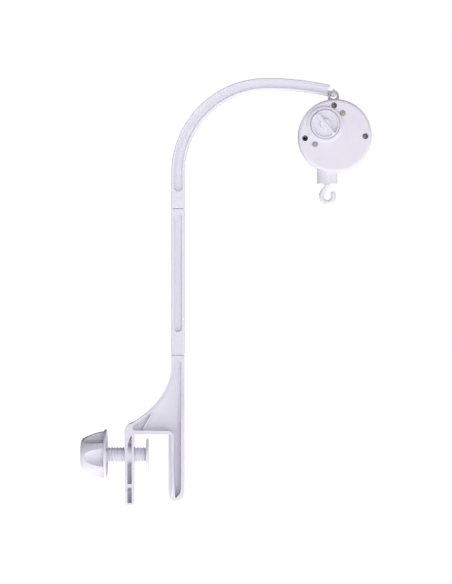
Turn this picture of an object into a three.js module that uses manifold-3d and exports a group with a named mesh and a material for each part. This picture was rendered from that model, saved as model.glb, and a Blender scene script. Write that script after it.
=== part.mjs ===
// Crib mobile: a rail clamp, a post, a curved arm and a wind-up music box with a turning hook.
//
// Millimetres, +Z up. +X runs from the clamp's knob towards the music box, and +Y away from the
// side that carries the winding key. The origin is the middle of the clamp's rail seat.

import * as THREE from 'three';
import { mergeVertices } from 'three/addons/utils/BufferGeometryUtils.js';
import Module from 'manifold-3d';

const wasm = await Module();
wasm.setup();

// ---------------------------------------------------------------- driving dimensions

const GAP = 0.3; // running and seating gap between pieces

// Bracket
const RIM = 4; // thickness of the flange that runs round the bracket
const WEB_HALF = 1.5; // half thickness of the web inside the flange
const JAW_HALF_DEPTH = 16; // half depth of the bracket at its jaws
const STEM_HALF_DEPTH = 8; // half depth of the bracket where the post stands
const STEM = { left: 26.7, right: 45.3, top: 109 };
const SCREW_LEG = { left: -37.8, right: -24.3, bottom: -98 };
const JAW_LEG = { left: 24.7, right: 45.3, bottom: -92 };
const JAW_PLATE = { apex: 22.6, curve: 38, wall: 2.4, top: -2, bottom: -96 };

// Screw, knob and pressure disc, all turning about one line along X
const SCREW_AXIS_Z = -28.9;
const SCREW = { core: 9.2, crest: 10.5, pitch: 4, from: -93, to: -8.3, sides: 12 };
const BOSS_RADIUS = 14;
const BOSS_BORE = 10.8;
const KNOB = { end: -99.5, back: -62.5, flange: 35, scallops: 6 };
const SCALLOP = { radius: 15.1, distance: 38.6, offset: 0.075 };
const DISC = { back: -7.9, face: -4.2, radius: 22.5 };

// Post and arm
const POST = { left: 27, right: 45.5, bottom: 109.3, top: 312.9, halfDepth: 7.5 };
const POST_SLOT = { bottom: 141.8, top: 307.3, width: 10.3, depth: 4.5 };
const SPIGOT = { middle: 36, halfWidth: 6, halfDepth: 4.3, length: 26 }; // push-fit tongues
const ARM_BOTTOM = POST.top + GAP;
const ARM_BEND = { x: 159.6, z: 361.4, radius: 132.6 };
const ARM_REACH_RADIUS = 400; // radius of the flatter stretch past the bend
const ARM_WIDTH = { start: 18.5, end: 15.2 };
const ARM_CHANNEL = { start: 342.4, depth: 4.5, outerRim: 3.6, innerRim: 2.6 };
const ARM_TIP_ANGLE = 12.8 * Math.PI / 180;

// Music box
const BOX = { x: 253.7, z: 413.3, radius: 50.6, wall: 2.2, rear: -20, front: 22 };
const PEG = { x: 252.3, z: 471.3, radius: 3 };
const EYE = { z: 470.1, outer: 7.6, hole: 4.5, halfThickness: 1.7, bottom: 449.5 };
const KEY = { x: 239.9, z: 428.8, radius: 19.8, collar: 24.9 };
const CASE_SCREW_RADIUS = 41.7;
const CASE_SCREW_ANGLES = [92, 185, -1].map((degrees) => degrees * Math.PI / 180);
const WELL = { radius: 4.15, wall: 1.5, seat: -5 };
const MOVEMENT_SCREWS = [{ x: 225.7, z: 401.2 }, { x: 263.9, z: 444.2 }];
const NECK = { x: 243.4, radius: 14, bottom: 347.5, cavity: 11.8 };

// Movement, drawn in a group whose own X runs along the tone cylinder and whose origin is the key's axis
const MOVEMENT_TURN = 30 * Math.PI / 180;
const PLATE = { back: -14.6, face: -12.6 };
const BARREL = { radius: 12, crown: 18, crownInner: 13.8 };
const CYLINDER = { depth: -2.8, radius: 6.5, from: 20.2, to: 42.4 };
const COMB_TEETH = 18;
const COMB_SCREWS = { at: [25, 37], z: 23.4 };
const GOVERNOR = { z: -10.4, flyX: 51.8, vane: 4.6 };

// Hook
const HOOK_EYE = { x: 243.9, z: 330.1, bend: 8.4, section: 3.5 };

// ---------------------------------------------------------------- finishes

const finish = (color, roughness, metalness) => ({ color, roughness, metalness });
const WHITE_PLASTIC = finish('#eeebf4', 0.32, 0);
const NATURAL_PLASTIC = finish('#d2ccca', 0.45, 0);
const STEEL = finish('#a3a1a6', 0.35, 0.9);
const SPRING_STEEL = finish('#5d6167', 0.4, 0.9);
const BRASS = finish('#c3a257', 0.35, 0.9);

// ---------------------------------------------------------------- solids

// A closed geometry as a solid for joining and cutting, its faces turned outwards.
function solid(geometry) {
  const bare = geometry.clone();
  bare.deleteAttribute('normal');
  bare.deleteAttribute('uv');
  const merged = mergeVertices(bare, 1e-4);
  const points = merged.attributes.position.array;
  const corners = merged.index.array;
  const faces = [];
  let volume = 0;
  for (let i = 0; i < corners.length; i += 3) {
    const [a, b, c] = [corners[i], corners[i + 1], corners[i + 2]];
    if (a === b || b === c || c === a) continue;
    faces.push([a, b, c]);
    const [p, q, r] = [a, b, c].map((k) => new THREE.Vector3().fromArray(points, 3 * k));
    volume += p.dot(q.cross(r));
  }
  const outward = volume > 0 ? faces : faces.map(([a, b, c]) => [a, c, b]);
  return new wasm.Manifold(new wasm.Mesh({
    numProp: 3,
    vertProperties: new Float32Array(points),
    triVerts: new Uint32Array(outward.flat()),
  }));
}

const join = (first, ...others) => others.reduce((whole, piece) => whole.add(piece), first);
const cut = (first, ...tools) => tools.reduce((whole, tool) => whole.subtract(tool), first);

function geometryOf(body) {
  const mesh = body.getMesh();
  const geometry = new THREE.BufferGeometry();
  geometry.setAttribute('position', new THREE.BufferAttribute(mesh.vertProperties, 3));
  geometry.setIndex(new THREE.BufferAttribute(mesh.triVerts, 1));
  geometry.computeVertexNormals();
  return geometry;
}

// Proper turns that carry a shape's own axes onto the object's.
const DRAWN_IN_XZ = new THREE.Matrix4().makeRotationX(Math.PI / 2);
const DRAWN_IN_YZ = new THREE.Matrix4().set(0, 0, 1, 0, 1, 0, 0, 0, 0, 1, 0, 0, 0, 0, 0, 1);
const TURNED = {
  X: new THREE.Matrix4().makeRotationZ(-Math.PI / 2),
  Y: new THREE.Matrix4(),
  Z: new THREE.Matrix4().makeRotationX(Math.PI / 2),
};

function extruded(shape, length, curveSegments = 10) {
  return new THREE.ExtrudeGeometry(shape, { depth: length, bevelEnabled: false, curveSegments });
}

// An outline drawn in X and Z, standing between two places along Y.
function slabXZ(shape, from, to, curveSegments) {
  const geometry = extruded(shape, to - from, curveSegments);
  geometry.applyMatrix4(DRAWN_IN_XZ);
  geometry.translate(0, to, 0);
  return solid(geometry);
}

// An outline drawn in Y and Z, standing between two places along X.
function slabYZ(shape, from, to, curveSegments) {
  const geometry = extruded(shape, to - from, curveSegments);
  geometry.applyMatrix4(DRAWN_IN_YZ);
  geometry.translate(from, 0, 0);
  return solid(geometry);
}

function block([x0, x1], [y0, y1], [z0, z1]) {
  const geometry = new THREE.BoxGeometry(x1 - x0, y1 - y0, z1 - z0);
  geometry.translate((x0 + x1) / 2, (y0 + y1) / 2, (z0 + z1) / 2);
  return solid(geometry);
}

// A profile of [radius, distance along the axis], turned about an axis through `at`.
function turned(axis, profile, at = [0, 0, 0], segments = 32) {
  const points = profile.map(([radius, along]) => new THREE.Vector2(radius, along));
  const geometry = new THREE.LatheGeometry(points, segments);
  geometry.applyMatrix4(TURNED[axis]);
  geometry.translate(...at);
  return solid(geometry);
}

function rod(axis, radius, from, to, at, segments = 24) {
  return turned(axis, [[0, from], [radius, from], [radius, to], [0, to]], at, segments);
}

function ring(axis, inner, outer, from, to, at, segments = 32) {
  const profile = [[inner, from], [outer, from], [outer, to], [inner, to], [inner, from]];
  return turned(axis, profile, at, segments);
}

const polygon = (pairs) => new THREE.Shape(pairs.map(([x, y]) => new THREE.Vector2(x, y)));

function circleHole(shape, x, y, radius) {
  const hole = new THREE.Path();
  hole.absarc(x, y, radius, 0, 2 * Math.PI, true);
  shape.holes.push(hole);
}

// An upright slot outline with round ends.
function slotShape(x, bottom, top, width) {
  const radius = width / 2;
  const shape = new THREE.Shape();
  shape.absarc(x, bottom + radius, radius, Math.PI, 2 * Math.PI, false);
  shape.absarc(x, top - radius, radius, 0, Math.PI, false);
  return shape;
}

const model = new THREE.Group();

function place(name, body, look, parent = model) {
  const mesh = new THREE.Mesh(geometryOf(body), new THREE.MeshStandardMaterial(look));
  mesh.name = name;
  parent.add(mesh);
}

// ---------------------------------------------------------------- clamp bracket

// The gusset sweeps from the stem down to the top of the screw leg.
const gusset = new THREE.CubicBezierCurve(
  new THREE.Vector2(STEM.left, 96),
  new THREE.Vector2(STEM.left, 62),
  new THREE.Vector2(4, 35),
  new THREE.Vector2(-27, 15.5),
);

// Points of a plane curve moved sideways, to the left of its direction.
function beside(curve, count, distance) {
  return curve.getPoints(count).map((point, i) => {
    const along = curve.getTangent(i / count);
    return [point.x - along.y * distance, point.y + along.x * distance];
  });
}

function bracketOutline() {
  const shape = new THREE.Shape();
  shape.moveTo(STEM.left, STEM.top);
  beside(gusset, 12, 0).forEach(([x, z]) => shape.lineTo(x, z));
  shape.quadraticCurveTo(SCREW_LEG.left, 13, SCREW_LEG.left, 4);
  shape.lineTo(SCREW_LEG.left + 1.2, SCREW_LEG.bottom);
  shape.lineTo(SCREW_LEG.right, SCREW_LEG.bottom);
  shape.lineTo(SCREW_LEG.right, 0);
  shape.lineTo(JAW_LEG.left, 0);
  shape.lineTo(JAW_LEG.left + 2.5, -4);
  shape.lineTo(JAW_LEG.left + 2.5, JAW_LEG.bottom + 2);
  shape.quadraticCurveTo(JAW_LEG.left + 4, JAW_LEG.bottom, JAW_LEG.left + 7, JAW_LEG.bottom);
  shape.quadraticCurveTo(JAW_LEG.right, JAW_LEG.bottom, JAW_LEG.right, JAW_LEG.bottom + 14);
  shape.lineTo(STEM.right, STEM.top);
  shape.closePath();
  return shape;
}

// The front and back hollow between the flange's walls: gusset, stem and fixed jaw in one.
function gussetPocket() {
  const stemMiddle = (STEM.left + STEM.right) / 2 + 0.4;
  const wallRight = STEM.right - 4.6;
  const shape = new THREE.Shape();
  const inner = beside(gusset, 12, RIM);
  shape.moveTo(wallRight, 98);
  shape.absarc(stemMiddle, 98, wallRight - stemMiddle, 0, Math.PI, false);
  inner.forEach(([x, z]) => shape.lineTo(x, z));
  shape.quadraticCurveTo(-28.5, 9, -24, 5.5);
  shape.lineTo(24.5, 5);
  shape.quadraticCurveTo(30.5, 3, 30.5, -5);
  shape.lineTo(30.5, -60);
  shape.lineTo(32.7, JAW_LEG.bottom + 4);
  shape.quadraticCurveTo(wallRight, JAW_LEG.bottom + 9, wallRight, JAW_LEG.bottom + 18);
  shape.closePath();
  return shape;
}

function screwLegPocket() {
  const [left, right] = [SCREW_LEG.left + 4.4, SCREW_LEG.right - 3.3];
  const shape = new THREE.Shape();
  shape.moveTo(right, -1.5);
  shape.quadraticCurveTo(left + 1, -6, left, -20);
  shape.lineTo(left, SCREW_LEG.bottom + 3.2);
  shape.lineTo(right, SCREW_LEG.bottom + 3.2);
  shape.closePath();
  return shape;
}

// The bracket seen from the side: deep at the jaws, narrowing up to the post.
function bracketSideView() {
  const shape = new THREE.Shape();
  const low = SCREW_LEG.bottom - 2;
  const high = STEM.top + 2;
  shape.moveTo(-JAW_HALF_DEPTH, low);
  shape.lineTo(JAW_HALF_DEPTH, low);
  shape.lineTo(JAW_HALF_DEPTH, 4);
  shape.bezierCurveTo(JAW_HALF_DEPTH, 40, STEM_HALF_DEPTH, 50, STEM_HALF_DEPTH, 92);
  shape.lineTo(STEM_HALF_DEPTH, high);
  shape.lineTo(-STEM_HALF_DEPTH, high);
  shape.lineTo(-STEM_HALF_DEPTH, 92);
  shape.bezierCurveTo(-STEM_HALF_DEPTH, 50, -JAW_HALF_DEPTH, 40, -JAW_HALF_DEPTH, 4);
  return shape;
}

// The fixed jaw's face: a crowned paddle, widest two thirds of the way down, its foot turned away.
function jawPlate() {
  const geometry = new THREE.BoxGeometry(1, 2, 1, 1, 9, 12);
  const position = geometry.attributes.position;
  const height = JAW_PLATE.top - JAW_PLATE.bottom;
  for (let i = 0; i < position.count; i += 1) {
    const down = 0.5 - position.getZ(i); // 0 at the top, 1 at the foot
    const z = JAW_PLATE.top - down * height;
    const shoulders = 11.5 + 9 * Math.sin(Math.min(down / 0.68, 1) * Math.PI / 2);
    const foot = Math.sqrt(Math.max(0, 1 - Math.max(0, (down - 0.74) / 0.262) ** 2));
    const y = position.getY(i) * shoulders * foot;
    const crown = JAW_PLATE.curve - Math.sqrt(JAW_PLATE.curve ** 2 - y * y);
    const flare = 4 * Math.max(0, (down - 0.8) / 0.2) ** 2;
    const inner = position.getX(i) > 0 ? JAW_PLATE.wall : 0;
    position.setXYZ(i, JAW_PLATE.apex + crown + flare + inner, y, z);
  }
  return solid(geometry);
}

function clampBracket() {
  const body = slabXZ(bracketOutline(), -JAW_HALF_DEPTH, JAW_HALF_DEPTH)
    .intersect(slabYZ(bracketSideView(), SCREW_LEG.left - 1, STEM.right + 1));
  const pockets = [[-JAW_HALF_DEPTH - 1, -WEB_HALF], [WEB_HALF, JAW_HALF_DEPTH + 1]].flatMap(
    ([from, to]) => [slabXZ(gussetPocket(), from, to), slabXZ(screwLegPocket(), from, to)],
  );
  const diagonalRib = slabXZ(polygon([[-15.2, 3], [-13.4, 3], [0.4, 25.5], [-1.2, 26.5]]), -11, 11);
  const crossRib = block([SCREW_LEG.left + 1, SCREW_LEG.right - 1], [-15.6, 15.6], [-73.5, -68.5]);
  const at = [0, 0, SCREW_AXIS_Z];
  const boss = rod('X', BOSS_RADIUS, SCREW_LEG.left + 0.1, SCREW_LEG.right - 0.1, at, 28);
  const plateFoot = block([23.7, 28.5], [-6, 6], [-80, -2]);
  const spigot = block(
    [SPIGOT.middle - SPIGOT.halfWidth, SPIGOT.middle + SPIGOT.halfWidth],
    [-SPIGOT.halfDepth, SPIGOT.halfDepth],
    [STEM.top - 3, STEM.top + SPIGOT.length],
  );
  const bore = rod('X', BOSS_BORE, SCREW_LEG.left - 2, SCREW_LEG.right + 2, at, 28);
  return cut(join(cut(body, ...pockets), diagonalRib, crossRib, boss, plateFoot, jawPlate(), spigot), bore);
}

// ---------------------------------------------------------------- knob, screw and pressure disc

// Scallops are round grooves parallel to the screw, so they fade out towards the knob's narrow end.
function scallops(extra) {
  return Array.from({ length: KNOB.scallops }, (_, i) => {
    const angle = (i + SCALLOP.offset) * 2 * Math.PI / KNOB.scallops;
    const y = SCALLOP.distance * Math.cos(angle);
    const z = SCREW_AXIS_Z + SCALLOP.distance * Math.sin(angle);
    return rod('X', SCALLOP.radius + extra, KNOB.end - 5, -66.2 + extra, [0, y, z], 18);
  });
}

function clampKnob() {
  const at = [0, 0, SCREW_AXIS_Z];
  const outside = turned('X', [
    [0, KNOB.end], [12, -99.3], [19, -98.4], [21.6, -97.2], [23, -95.2], [26.2, -88.5],
    [29.4, -80.5], [31.6, -73], [32.6, -66.2], [0, -66.2],
  ], at, 32);
  const inside = turned('X', [
    [0, -96.6], [18, -95.8], [20.4, -94.2], [23.6, -87.5], [26.8, -79.5], [29, -72],
    [29.8, KNOB.back + 1], [0, KNOB.back + 1],
  ], at, 32);
  const flange = turned('X', [
    [0, -66.2], [34.2, -66.2], [35, -65.4], [35, -63.3], [34.2, KNOB.back], [0, KNOB.back],
  ], at, 32);
  const hub = rod('X', 12.6, -97, KNOB.back - 1, at, 20);
  const socket = rod('X', SCREW.core + GAP, SCREW.from - GAP, 0, at, 6);
  const hollow = cut(inside, ...scallops(2.6));
  return cut(join(cut(join(cut(outside, ...scallops(0)), flange), hollow), hub), socket);
}

// A straight ridge wrapped round the core: x is the radius, y lies along the screw, z counts turns.
function threadRidge(from, to) {
  const turns = (to - from) / SCREW.pitch;
  const section = polygon([
    [SCREW.core - 1, -0.36 * SCREW.pitch], [SCREW.crest, -0.15 * SCREW.pitch],
    [SCREW.crest, 0.15 * SCREW.pitch], [SCREW.core - 1, 0.36 * SCREW.pitch],
  ]);
  const steps = Math.round(turns * SCREW.sides);
  const geometry = new THREE.ExtrudeGeometry(section, { depth: turns, steps, bevelEnabled: false });
  const position = geometry.attributes.position;
  for (let i = 0; i < position.count; i += 1) {
    const radius = position.getX(i);
    const turn = 2 * Math.PI * position.getZ(i);
    const along = from + position.getY(i) + SCREW.pitch * position.getZ(i);
    position.setXYZ(i, along, radius * Math.cos(turn), SCREW_AXIS_Z + radius * Math.sin(turn));
  }
  return solid(geometry);
}

function clampSpindle() {
  const at = [0, 0, SCREW_AXIS_Z];
  const key = rod('X', SCREW.core, SCREW.from, -61, at, 6);
  const core = rod('X', SCREW.core, -61.5, SCREW.to, at, SCREW.sides);
  const screwHole = rod('X', 1.9, -24, 0, at, 12);
  return cut(join(core, key, threadRidge(-59.5, SCREW.to - 1.5)), screwHole);
}

function pressureDisc() {
  const { back, face, radius } = DISC;
  const at = [0, 0, SCREW_AXIS_Z];
  return turned('X', [
    [1.9, back], [radius - 1, back], [radius, back + 1], [radius, face - 1], [radius - 1, face],
    [4.2, face], [1.9, face - 2.3], [1.9, back],
  ], at, 32);
}

function discRetainingScrew() {
  const at = [0, 0, SCREW_AXIS_Z];
  const body = turned('X', [
    [0, -22], [1.2, -22], [1.6, -20.5], [1.6, -6.5], [3.6, -4.5], [0, -4.5],
  ], at, 14);
  const slot = block([-5.4, -4], [-0.45, 0.45], [SCREW_AXIS_Z - 5, SCREW_AXIS_Z + 5]);
  const crossSlot = block([-5.4, -4], [-5, 5], [SCREW_AXIS_Z - 0.45, SCREW_AXIS_Z + 0.45]);
  return cut(body, slot, crossSlot);
}

// ---------------------------------------------------------------- post and arm

function socketCut(bottom) {
  const { middle, halfWidth, halfDepth, length } = SPIGOT;
  return block(
    [middle - halfWidth - GAP, middle + halfWidth + GAP],
    [-halfDepth - GAP, halfDepth + GAP],
    [bottom - 1, bottom + length + GAP],
  );
}

// A bar with softened corners, seen from above.
function barSection(left, right, halfDepth, corner) {
  return polygon([
    [left + corner, -halfDepth], [right - corner, -halfDepth], [right, -halfDepth + corner],
    [right, halfDepth - corner], [right - corner, halfDepth], [left + corner, halfDepth],
    [left, halfDepth - corner], [left, -halfDepth + corner],
  ]);
}

function middlePost() {
  const { left, right, bottom, top, halfDepth } = POST;
  const bar = extruded(barSection(left, right, halfDepth, 1.2), top - bottom);
  bar.translate(0, 0, bottom);
  const slot = slotShape((left + right) / 2, POST_SLOT.bottom, POST_SLOT.top, POST_SLOT.width);
  const slots = [
    slabXZ(slot, -halfDepth - 1, -halfDepth + POST_SLOT.depth, 16),
    slabXZ(slot, halfDepth - POST_SLOT.depth, halfDepth + 1, 16),
  ];
  const spigot = block(
    [SPIGOT.middle - SPIGOT.halfWidth, SPIGOT.middle + SPIGOT.halfWidth],
    [-SPIGOT.halfDepth, SPIGOT.halfDepth],
    [top - 3, top + SPIGOT.length],
  );
  const shell = cut(solid(bar), ...slots, socketCut(bottom));
  return join(shell, spigot);
}

// The arm's outer edge as points, each with the outward direction there and how far along it lies.
function armEdge() {
  const edge = [];
  const add = (x, z, nx, nz) => edge.push({ x, z, nx, nz });
  add(POST.left, ARM_BOTTOM, -1, 0);
  add(POST.left, ARM_CHANNEL.start, -1, 0);
  const bendSteps = 26;
  for (let i = 0; i <= bendSteps; i += 1) {
    const angle = Math.PI * (1 - 0.5 * i / bendSteps);
    const [nx, nz] = [Math.cos(angle), Math.sin(angle)];
    add(ARM_BEND.x + ARM_BEND.radius * nx, ARM_BEND.z + ARM_BEND.radius * nz, nx, nz);
  }
  const reachSteps = 6;
  const reachZ = ARM_BEND.z + ARM_BEND.radius - ARM_REACH_RADIUS;
  for (let i = 1; i <= reachSteps; i += 1) {
    const angle = ARM_TIP_ANGLE * i / reachSteps;
    const [nx, nz] = [Math.sin(angle), Math.cos(angle)];
    add(ARM_BEND.x + ARM_REACH_RADIUS * nx, reachZ + ARM_REACH_RADIUS * nz, nx, nz);
  }
  let length = 0;
  edge.forEach((point, i) => {
    if (i > 0) length += Math.hypot(point.x - edge[i - 1].x, point.z - edge[i - 1].z);
    point.along = length;
  });
  edge.forEach((point) => {
    point.width = ARM_WIDTH.start + (ARM_WIDTH.end - ARM_WIDTH.start) * point.along / length;
  });
  return edge;
}

// A band that follows the arm, between two distances in from its outer edge.
function armBand(edge, outerInset, innerInset) {
  const outer = edge.map((p) => [p.x - p.nx * outerInset, p.z - p.nz * outerInset]);
  const inner = edge.map((p) => {
    const inset = p.width - innerInset;
    return [p.x - p.nx * inset, p.z - p.nz * inset];
  });
  return polygon([...outer, ...inner.reverse()]);
}

// The arm's end is hollowed round the eyelet, and a thin finger behind the eyelet carries the peg.
function armEndCut() {
  const shape = new THREE.Shape();
  shape.moveTo(248.4, 486.5);
  shape.lineTo(248.2, 484);
  shape.quadraticCurveTo(241.4, 478.4, 244, 468);
  shape.lineTo(270, 468);
  shape.lineTo(270, 486.5);
  shape.closePath();
  return shape;
}

function pegFinger() {
  const shape = new THREE.Shape();
  shape.moveTo(236, 473);
  shape.lineTo(246, 469.4);
  shape.lineTo(252.5, 468.9);
  shape.quadraticCurveTo(256.4, 470.5, 255.9, 473.4);
  shape.lineTo(253.4, 480.6);
  shape.lineTo(249.4, 476.6);
  shape.lineTo(236, 482);
  shape.closePath();
  return shape;
}

function curvedArm() {
  const edge = armEdge();
  const { halfDepth } = POST;
  const bar = slabXZ(armBand(edge, 0, 0), -halfDepth, halfDepth);
  const channelEdge = edge.slice(1);
  const band = armBand(channelEdge, ARM_CHANNEL.outerRim, ARM_CHANNEL.innerRim);
  const roundEnd = new THREE.Shape();
  const channelLeft = POST.left + ARM_CHANNEL.outerRim;
  const channelRight = POST.left + channelEdge[0].width - ARM_CHANNEL.innerRim;
  const radius = (channelRight - channelLeft) / 2;
  roundEnd.absarc(channelLeft + radius, ARM_CHANNEL.start, radius, 0, 2 * Math.PI, false);
  const tools = [[-halfDepth - 1, -halfDepth + ARM_CHANNEL.depth],
    [halfDepth - ARM_CHANNEL.depth, halfDepth + 1]].flatMap(
    ([from, to]) => [slabXZ(band, from, to), slabXZ(roundEnd, from, to)],
  );
  tools.push(socketCut(ARM_BOTTOM));
  tools.push(slabXZ(armEndCut(), -halfDepth - 1, halfDepth + 1, 12));
  const at = [PEG.x, 0, PEG.z];
  const peg = turned('Y', [
    [0, -4], [2.4, -4], [3.5, -3.4], [3.5, -2.7], [PEG.radius, -2.2], [PEG.radius, 3], [0, 3],
  ], at, 20);
  return join(cut(bar, ...tools), slabXZ(pegFinger(), 2.3, 5.6), peg);
}

// ---------------------------------------------------------------- music box case

const caseScrewPlaces = CASE_SCREW_ANGLES.map((angle) => ({
  x: BOX.x + CASE_SCREW_RADIUS * Math.cos(angle),
  z: BOX.z + CASE_SCREW_RADIUS * Math.sin(angle),
}));

function caseSolid(inset, segments) {
  const radius = BOX.radius - inset;
  const rear = BOX.rear + inset;
  const front = BOX.front - inset;
  const profile = [
    [0, rear], [radius - 4, rear], [radius - 1.2, rear + 1.2], [radius, rear + 4],
    [radius, front - 8], [radius - 2.4, front - 3.4], [radius - 8, front - 0.8], [radius - 16, front],
    [0, front],
  ];
  return turned('Y', profile, [BOX.x, 0, BOX.z], segments);
}

function caseShell() {
  const neck = rod('Z', NECK.radius, NECK.bottom, 372, [NECK.x, 0, 0], 28);
  const neckCavity = rod('Z', NECK.cavity, NECK.bottom + 2.8, 373, [NECK.x, 0, 0], 24);
  const outside = join(caseSolid(0, 44), neck);
  const inside = join(caseSolid(BOX.wall, 32), neckCavity);
  const bushHole = rod('Z', 5.2, NECK.bottom - 1, NECK.bottom + 4, [NECK.x, 0, 0], 24);
  const eyeletSlot = block([PEG.x - 8, PEG.x + 8], [-2, 2], [455, 470]);
  return cut(outside, inside, bushHole, eyeletSlot);
}

// Room for one half of the case, on its own side of the parting line.
function caseHalf(from, to) {
  return block(
    [BOX.x - BOX.radius - 1, BOX.x + BOX.radius + 1],
    [from, to],
    [NECK.bottom - 1, BOX.z + BOX.radius + 1],
  );
}

// A rib across each half that holds the hook's shaft in a half-round notch.
function shaftRib(from, to) {
  const rib = block([NECK.x - 10, NECK.x + 10], [from, to], [384, 387]);
  return cut(rib, rod('Z', 2.4, 383, 388, [NECK.x, 0, 0], 16));
}

function rearCover() {
  const half = caseShell().intersect(caseHalf(BOX.rear - 1, -GAP / 2));
  const { x, z, collar, radius } = KEY;
  const collarRing = turned('Y', [
    [radius + 0.6, BOX.rear + 0.5], [collar + 1, BOX.rear + 0.5], [collar, BOX.rear - 1.4],
    [collar - 1.6, BOX.rear - 2.8], [radius + 1.4, BOX.rear - 2.8], [radius + 0.6, BOX.rear - 2],
    [radius + 0.6, BOX.rear + 0.5],
  ], [x, 0, z], 48);
  const wells = caseScrewPlaces.map((p) => rod('Y', WELL.radius + WELL.wall, BOX.rear + 1, WELL.seat + 2,
    [p.x, 0, p.z], 16));
  const wellCuts = caseScrewPlaces.flatMap((p) => [
    rod('Y', WELL.radius, BOX.rear - 5, WELL.seat, [p.x, 0, p.z], 16),
    rod('Y', 1.8, WELL.seat - 1, WELL.seat + 3, [p.x, 0, p.z], 8),
  ]);
  const bosses = MOVEMENT_SCREWS.map((p) => rod('Y', 5, BOX.rear + 1, PLATE.back - GAP, [p.x, 0, p.z], 14));
  const bossCuts = MOVEMENT_SCREWS.flatMap((p) => [
    rod('Y', 4.3, BOX.rear - 1, BOX.rear + 0.8, [p.x, 0, p.z], 16),
    rod('Y', 1.9, BOX.rear, 0, [p.x, 0, p.z], 8),
  ]);
  const keyHole = rod('Y', 3.2, BOX.rear - 1, BOX.rear + 4, [x, 0, z], 16);
  const shell = join(half, collarRing, ...wells, ...bosses, shaftRib(BOX.rear + 1, -GAP / 2));
  return cut(shell, ...wellCuts, ...bossCuts, keyHole);
}

function frontCover() {
  const half = caseShell().intersect(caseHalf(GAP / 2, BOX.front + 1));
  const bosses = caseScrewPlaces.map((p) => rod('Y', 4, WELL.seat + 2 + GAP, BOX.front - 1.6,
    [p.x, 0, p.z], 14));
  const holes = caseScrewPlaces.map((p) => rod('Y', 1.8, WELL.seat, 10, [p.x, 0, p.z], 8));
  return cut(join(half, ...bosses, shaftRib(GAP / 2, BOX.front - 1.6)), ...holes);
}

function hangingEyelet() {
  const shape = new THREE.Shape();
  const { outer, hole, halfThickness, bottom } = EYE;
  shape.absarc(PEG.x, EYE.z, outer, 0, Math.PI, false);
  shape.lineTo(PEG.x - outer, bottom + 3);
  shape.lineTo(PEG.x - outer + 3, bottom);
  shape.lineTo(PEG.x + outer - 3, bottom);
  shape.lineTo(PEG.x + outer, bottom + 3);
  shape.closePath();
  circleHole(shape, PEG.x, EYE.z, hole);
  circleHole(shape, caseScrewPlaces[0].x, caseScrewPlaces[0].z, 4.4);
  return slabXZ(shape, -halfThickness, halfThickness, 12);
}

// A cross-headed screw along Y, its head towards -Y.
function crossHeadScrew(x, z, seat, headRadius, headHeight, shankRadius, end) {
  const body = turned('Y', [
    [0, seat - headHeight], [headRadius - 0.9, seat - headHeight], [headRadius, seat - headHeight + 0.8],
    [headRadius, seat], [shankRadius, seat], [shankRadius, end], [0, end],
  ], [x, 0, z], 12);
  const reach = headRadius * 0.62;
  const top = seat - headHeight - 1;
  const floor = seat - headHeight * 0.45;
  const bladeA = block([x - reach, x + reach], [top, floor], [z - 0.4, z + 0.4]);
  const bladeB = block([x - 0.4, x + 0.4], [top, floor], [z - reach, z + reach]);
  return cut(body, bladeA, bladeB);
}

function windingKey() {
  const at = [KEY.x, 0, KEY.z];
  const back = BOX.rear - 0.5;
  const cup = turned('Y', [
    [0, back], [KEY.radius - 0.6, back], [KEY.radius, back - 0.6], [KEY.radius, back - 4.2],
    [KEY.radius - 0.8, back - 5], [KEY.radius - 2, back - 5], [KEY.radius - 2.6, back - 2.2],
    [0, back - 2.2],
  ], at, 48);
  const hub = turned('Y', [
    [0, back - 1], [7.4, back - 1], [7, back - 7], [6, back - 7.8], [0, back - 7.8],
  ], at, 28);
  const lean = -49.5 * Math.PI / 180;
  const grip = new THREE.BoxGeometry(2 * (KEY.radius - 1.2), 8, 5.2);
  grip.translate(0, back - 5, 0);
  grip.rotateY(-lean);
  grip.translate(KEY.x, 0, KEY.z);
  const square = block([KEY.x - 2.1, KEY.x + 2.1], [back - 5, 0], [KEY.z - 2.1, KEY.z + 2.1]);
  return cut(join(cup, hub, solid(grip)), square);
}

// ---------------------------------------------------------------- movement

const movement = new THREE.Group();
movement.position.set(KEY.x, 0, KEY.z);
movement.rotation.y = MOVEMENT_TURN;
model.add(movement);

// A place given in the object's X and Z, in the movement group's own.
function inMovement(x, z) {
  const [dx, dz] = [x - KEY.x, z - KEY.z];
  const [c, s] = [Math.cos(MOVEMENT_TURN), Math.sin(MOVEMENT_TURN)];
  return { x: dx * c - dz * s, z: dx * s + dz * c };
}

function gearShape(teeth, root, tip, bore) {
  const points = [];
  for (let i = 0; i < teeth; i += 1) {
    [[root, -0.3], [tip, -0.14], [tip, 0.14], [root, 0.3]].forEach(([radius, part]) => {
      const angle = 2 * Math.PI * (i + part) / teeth;
      points.push([radius * Math.cos(angle), radius * Math.sin(angle)]);
    });
  }
  const shape = polygon(points);
  circleHole(shape, 0, 0, bore);
  return shape;
}

function movementBedplate() {
  const shape = polygon([
    [-13, -13], [-2, -34.5], [7, -34.5], [12, -16], [54, -16], [54, -4], [48, 10], [40, 30],
    [20, 32], [9, 32], [6, 24], [-2, 15], [-13, 13],
  ]);
  circleHole(shape, 0, 0, 2.6);
  MOVEMENT_SCREWS.map((p) => inMovement(p.x, p.z)).forEach((p) => circleHole(shape, p.x, p.z, 1.8));
  circleHole(shape, GOVERNOR.flyX, GOVERNOR.z, 1.2);
  return slabXZ(shape, PLATE.back, PLATE.face, 8);
}

function cylinderBracket(from, to, zLow, bores) {
  const plate = block([from, to], [PLATE.face + GAP, 1.4], [zLow, 4.2]);
  const bored = ([z, radius]) => rod('X', radius, from - 1, to + 1, [0, CYLINDER.depth, z], 14);
  return cut(plate, ...bores.map(bored));
}

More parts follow.
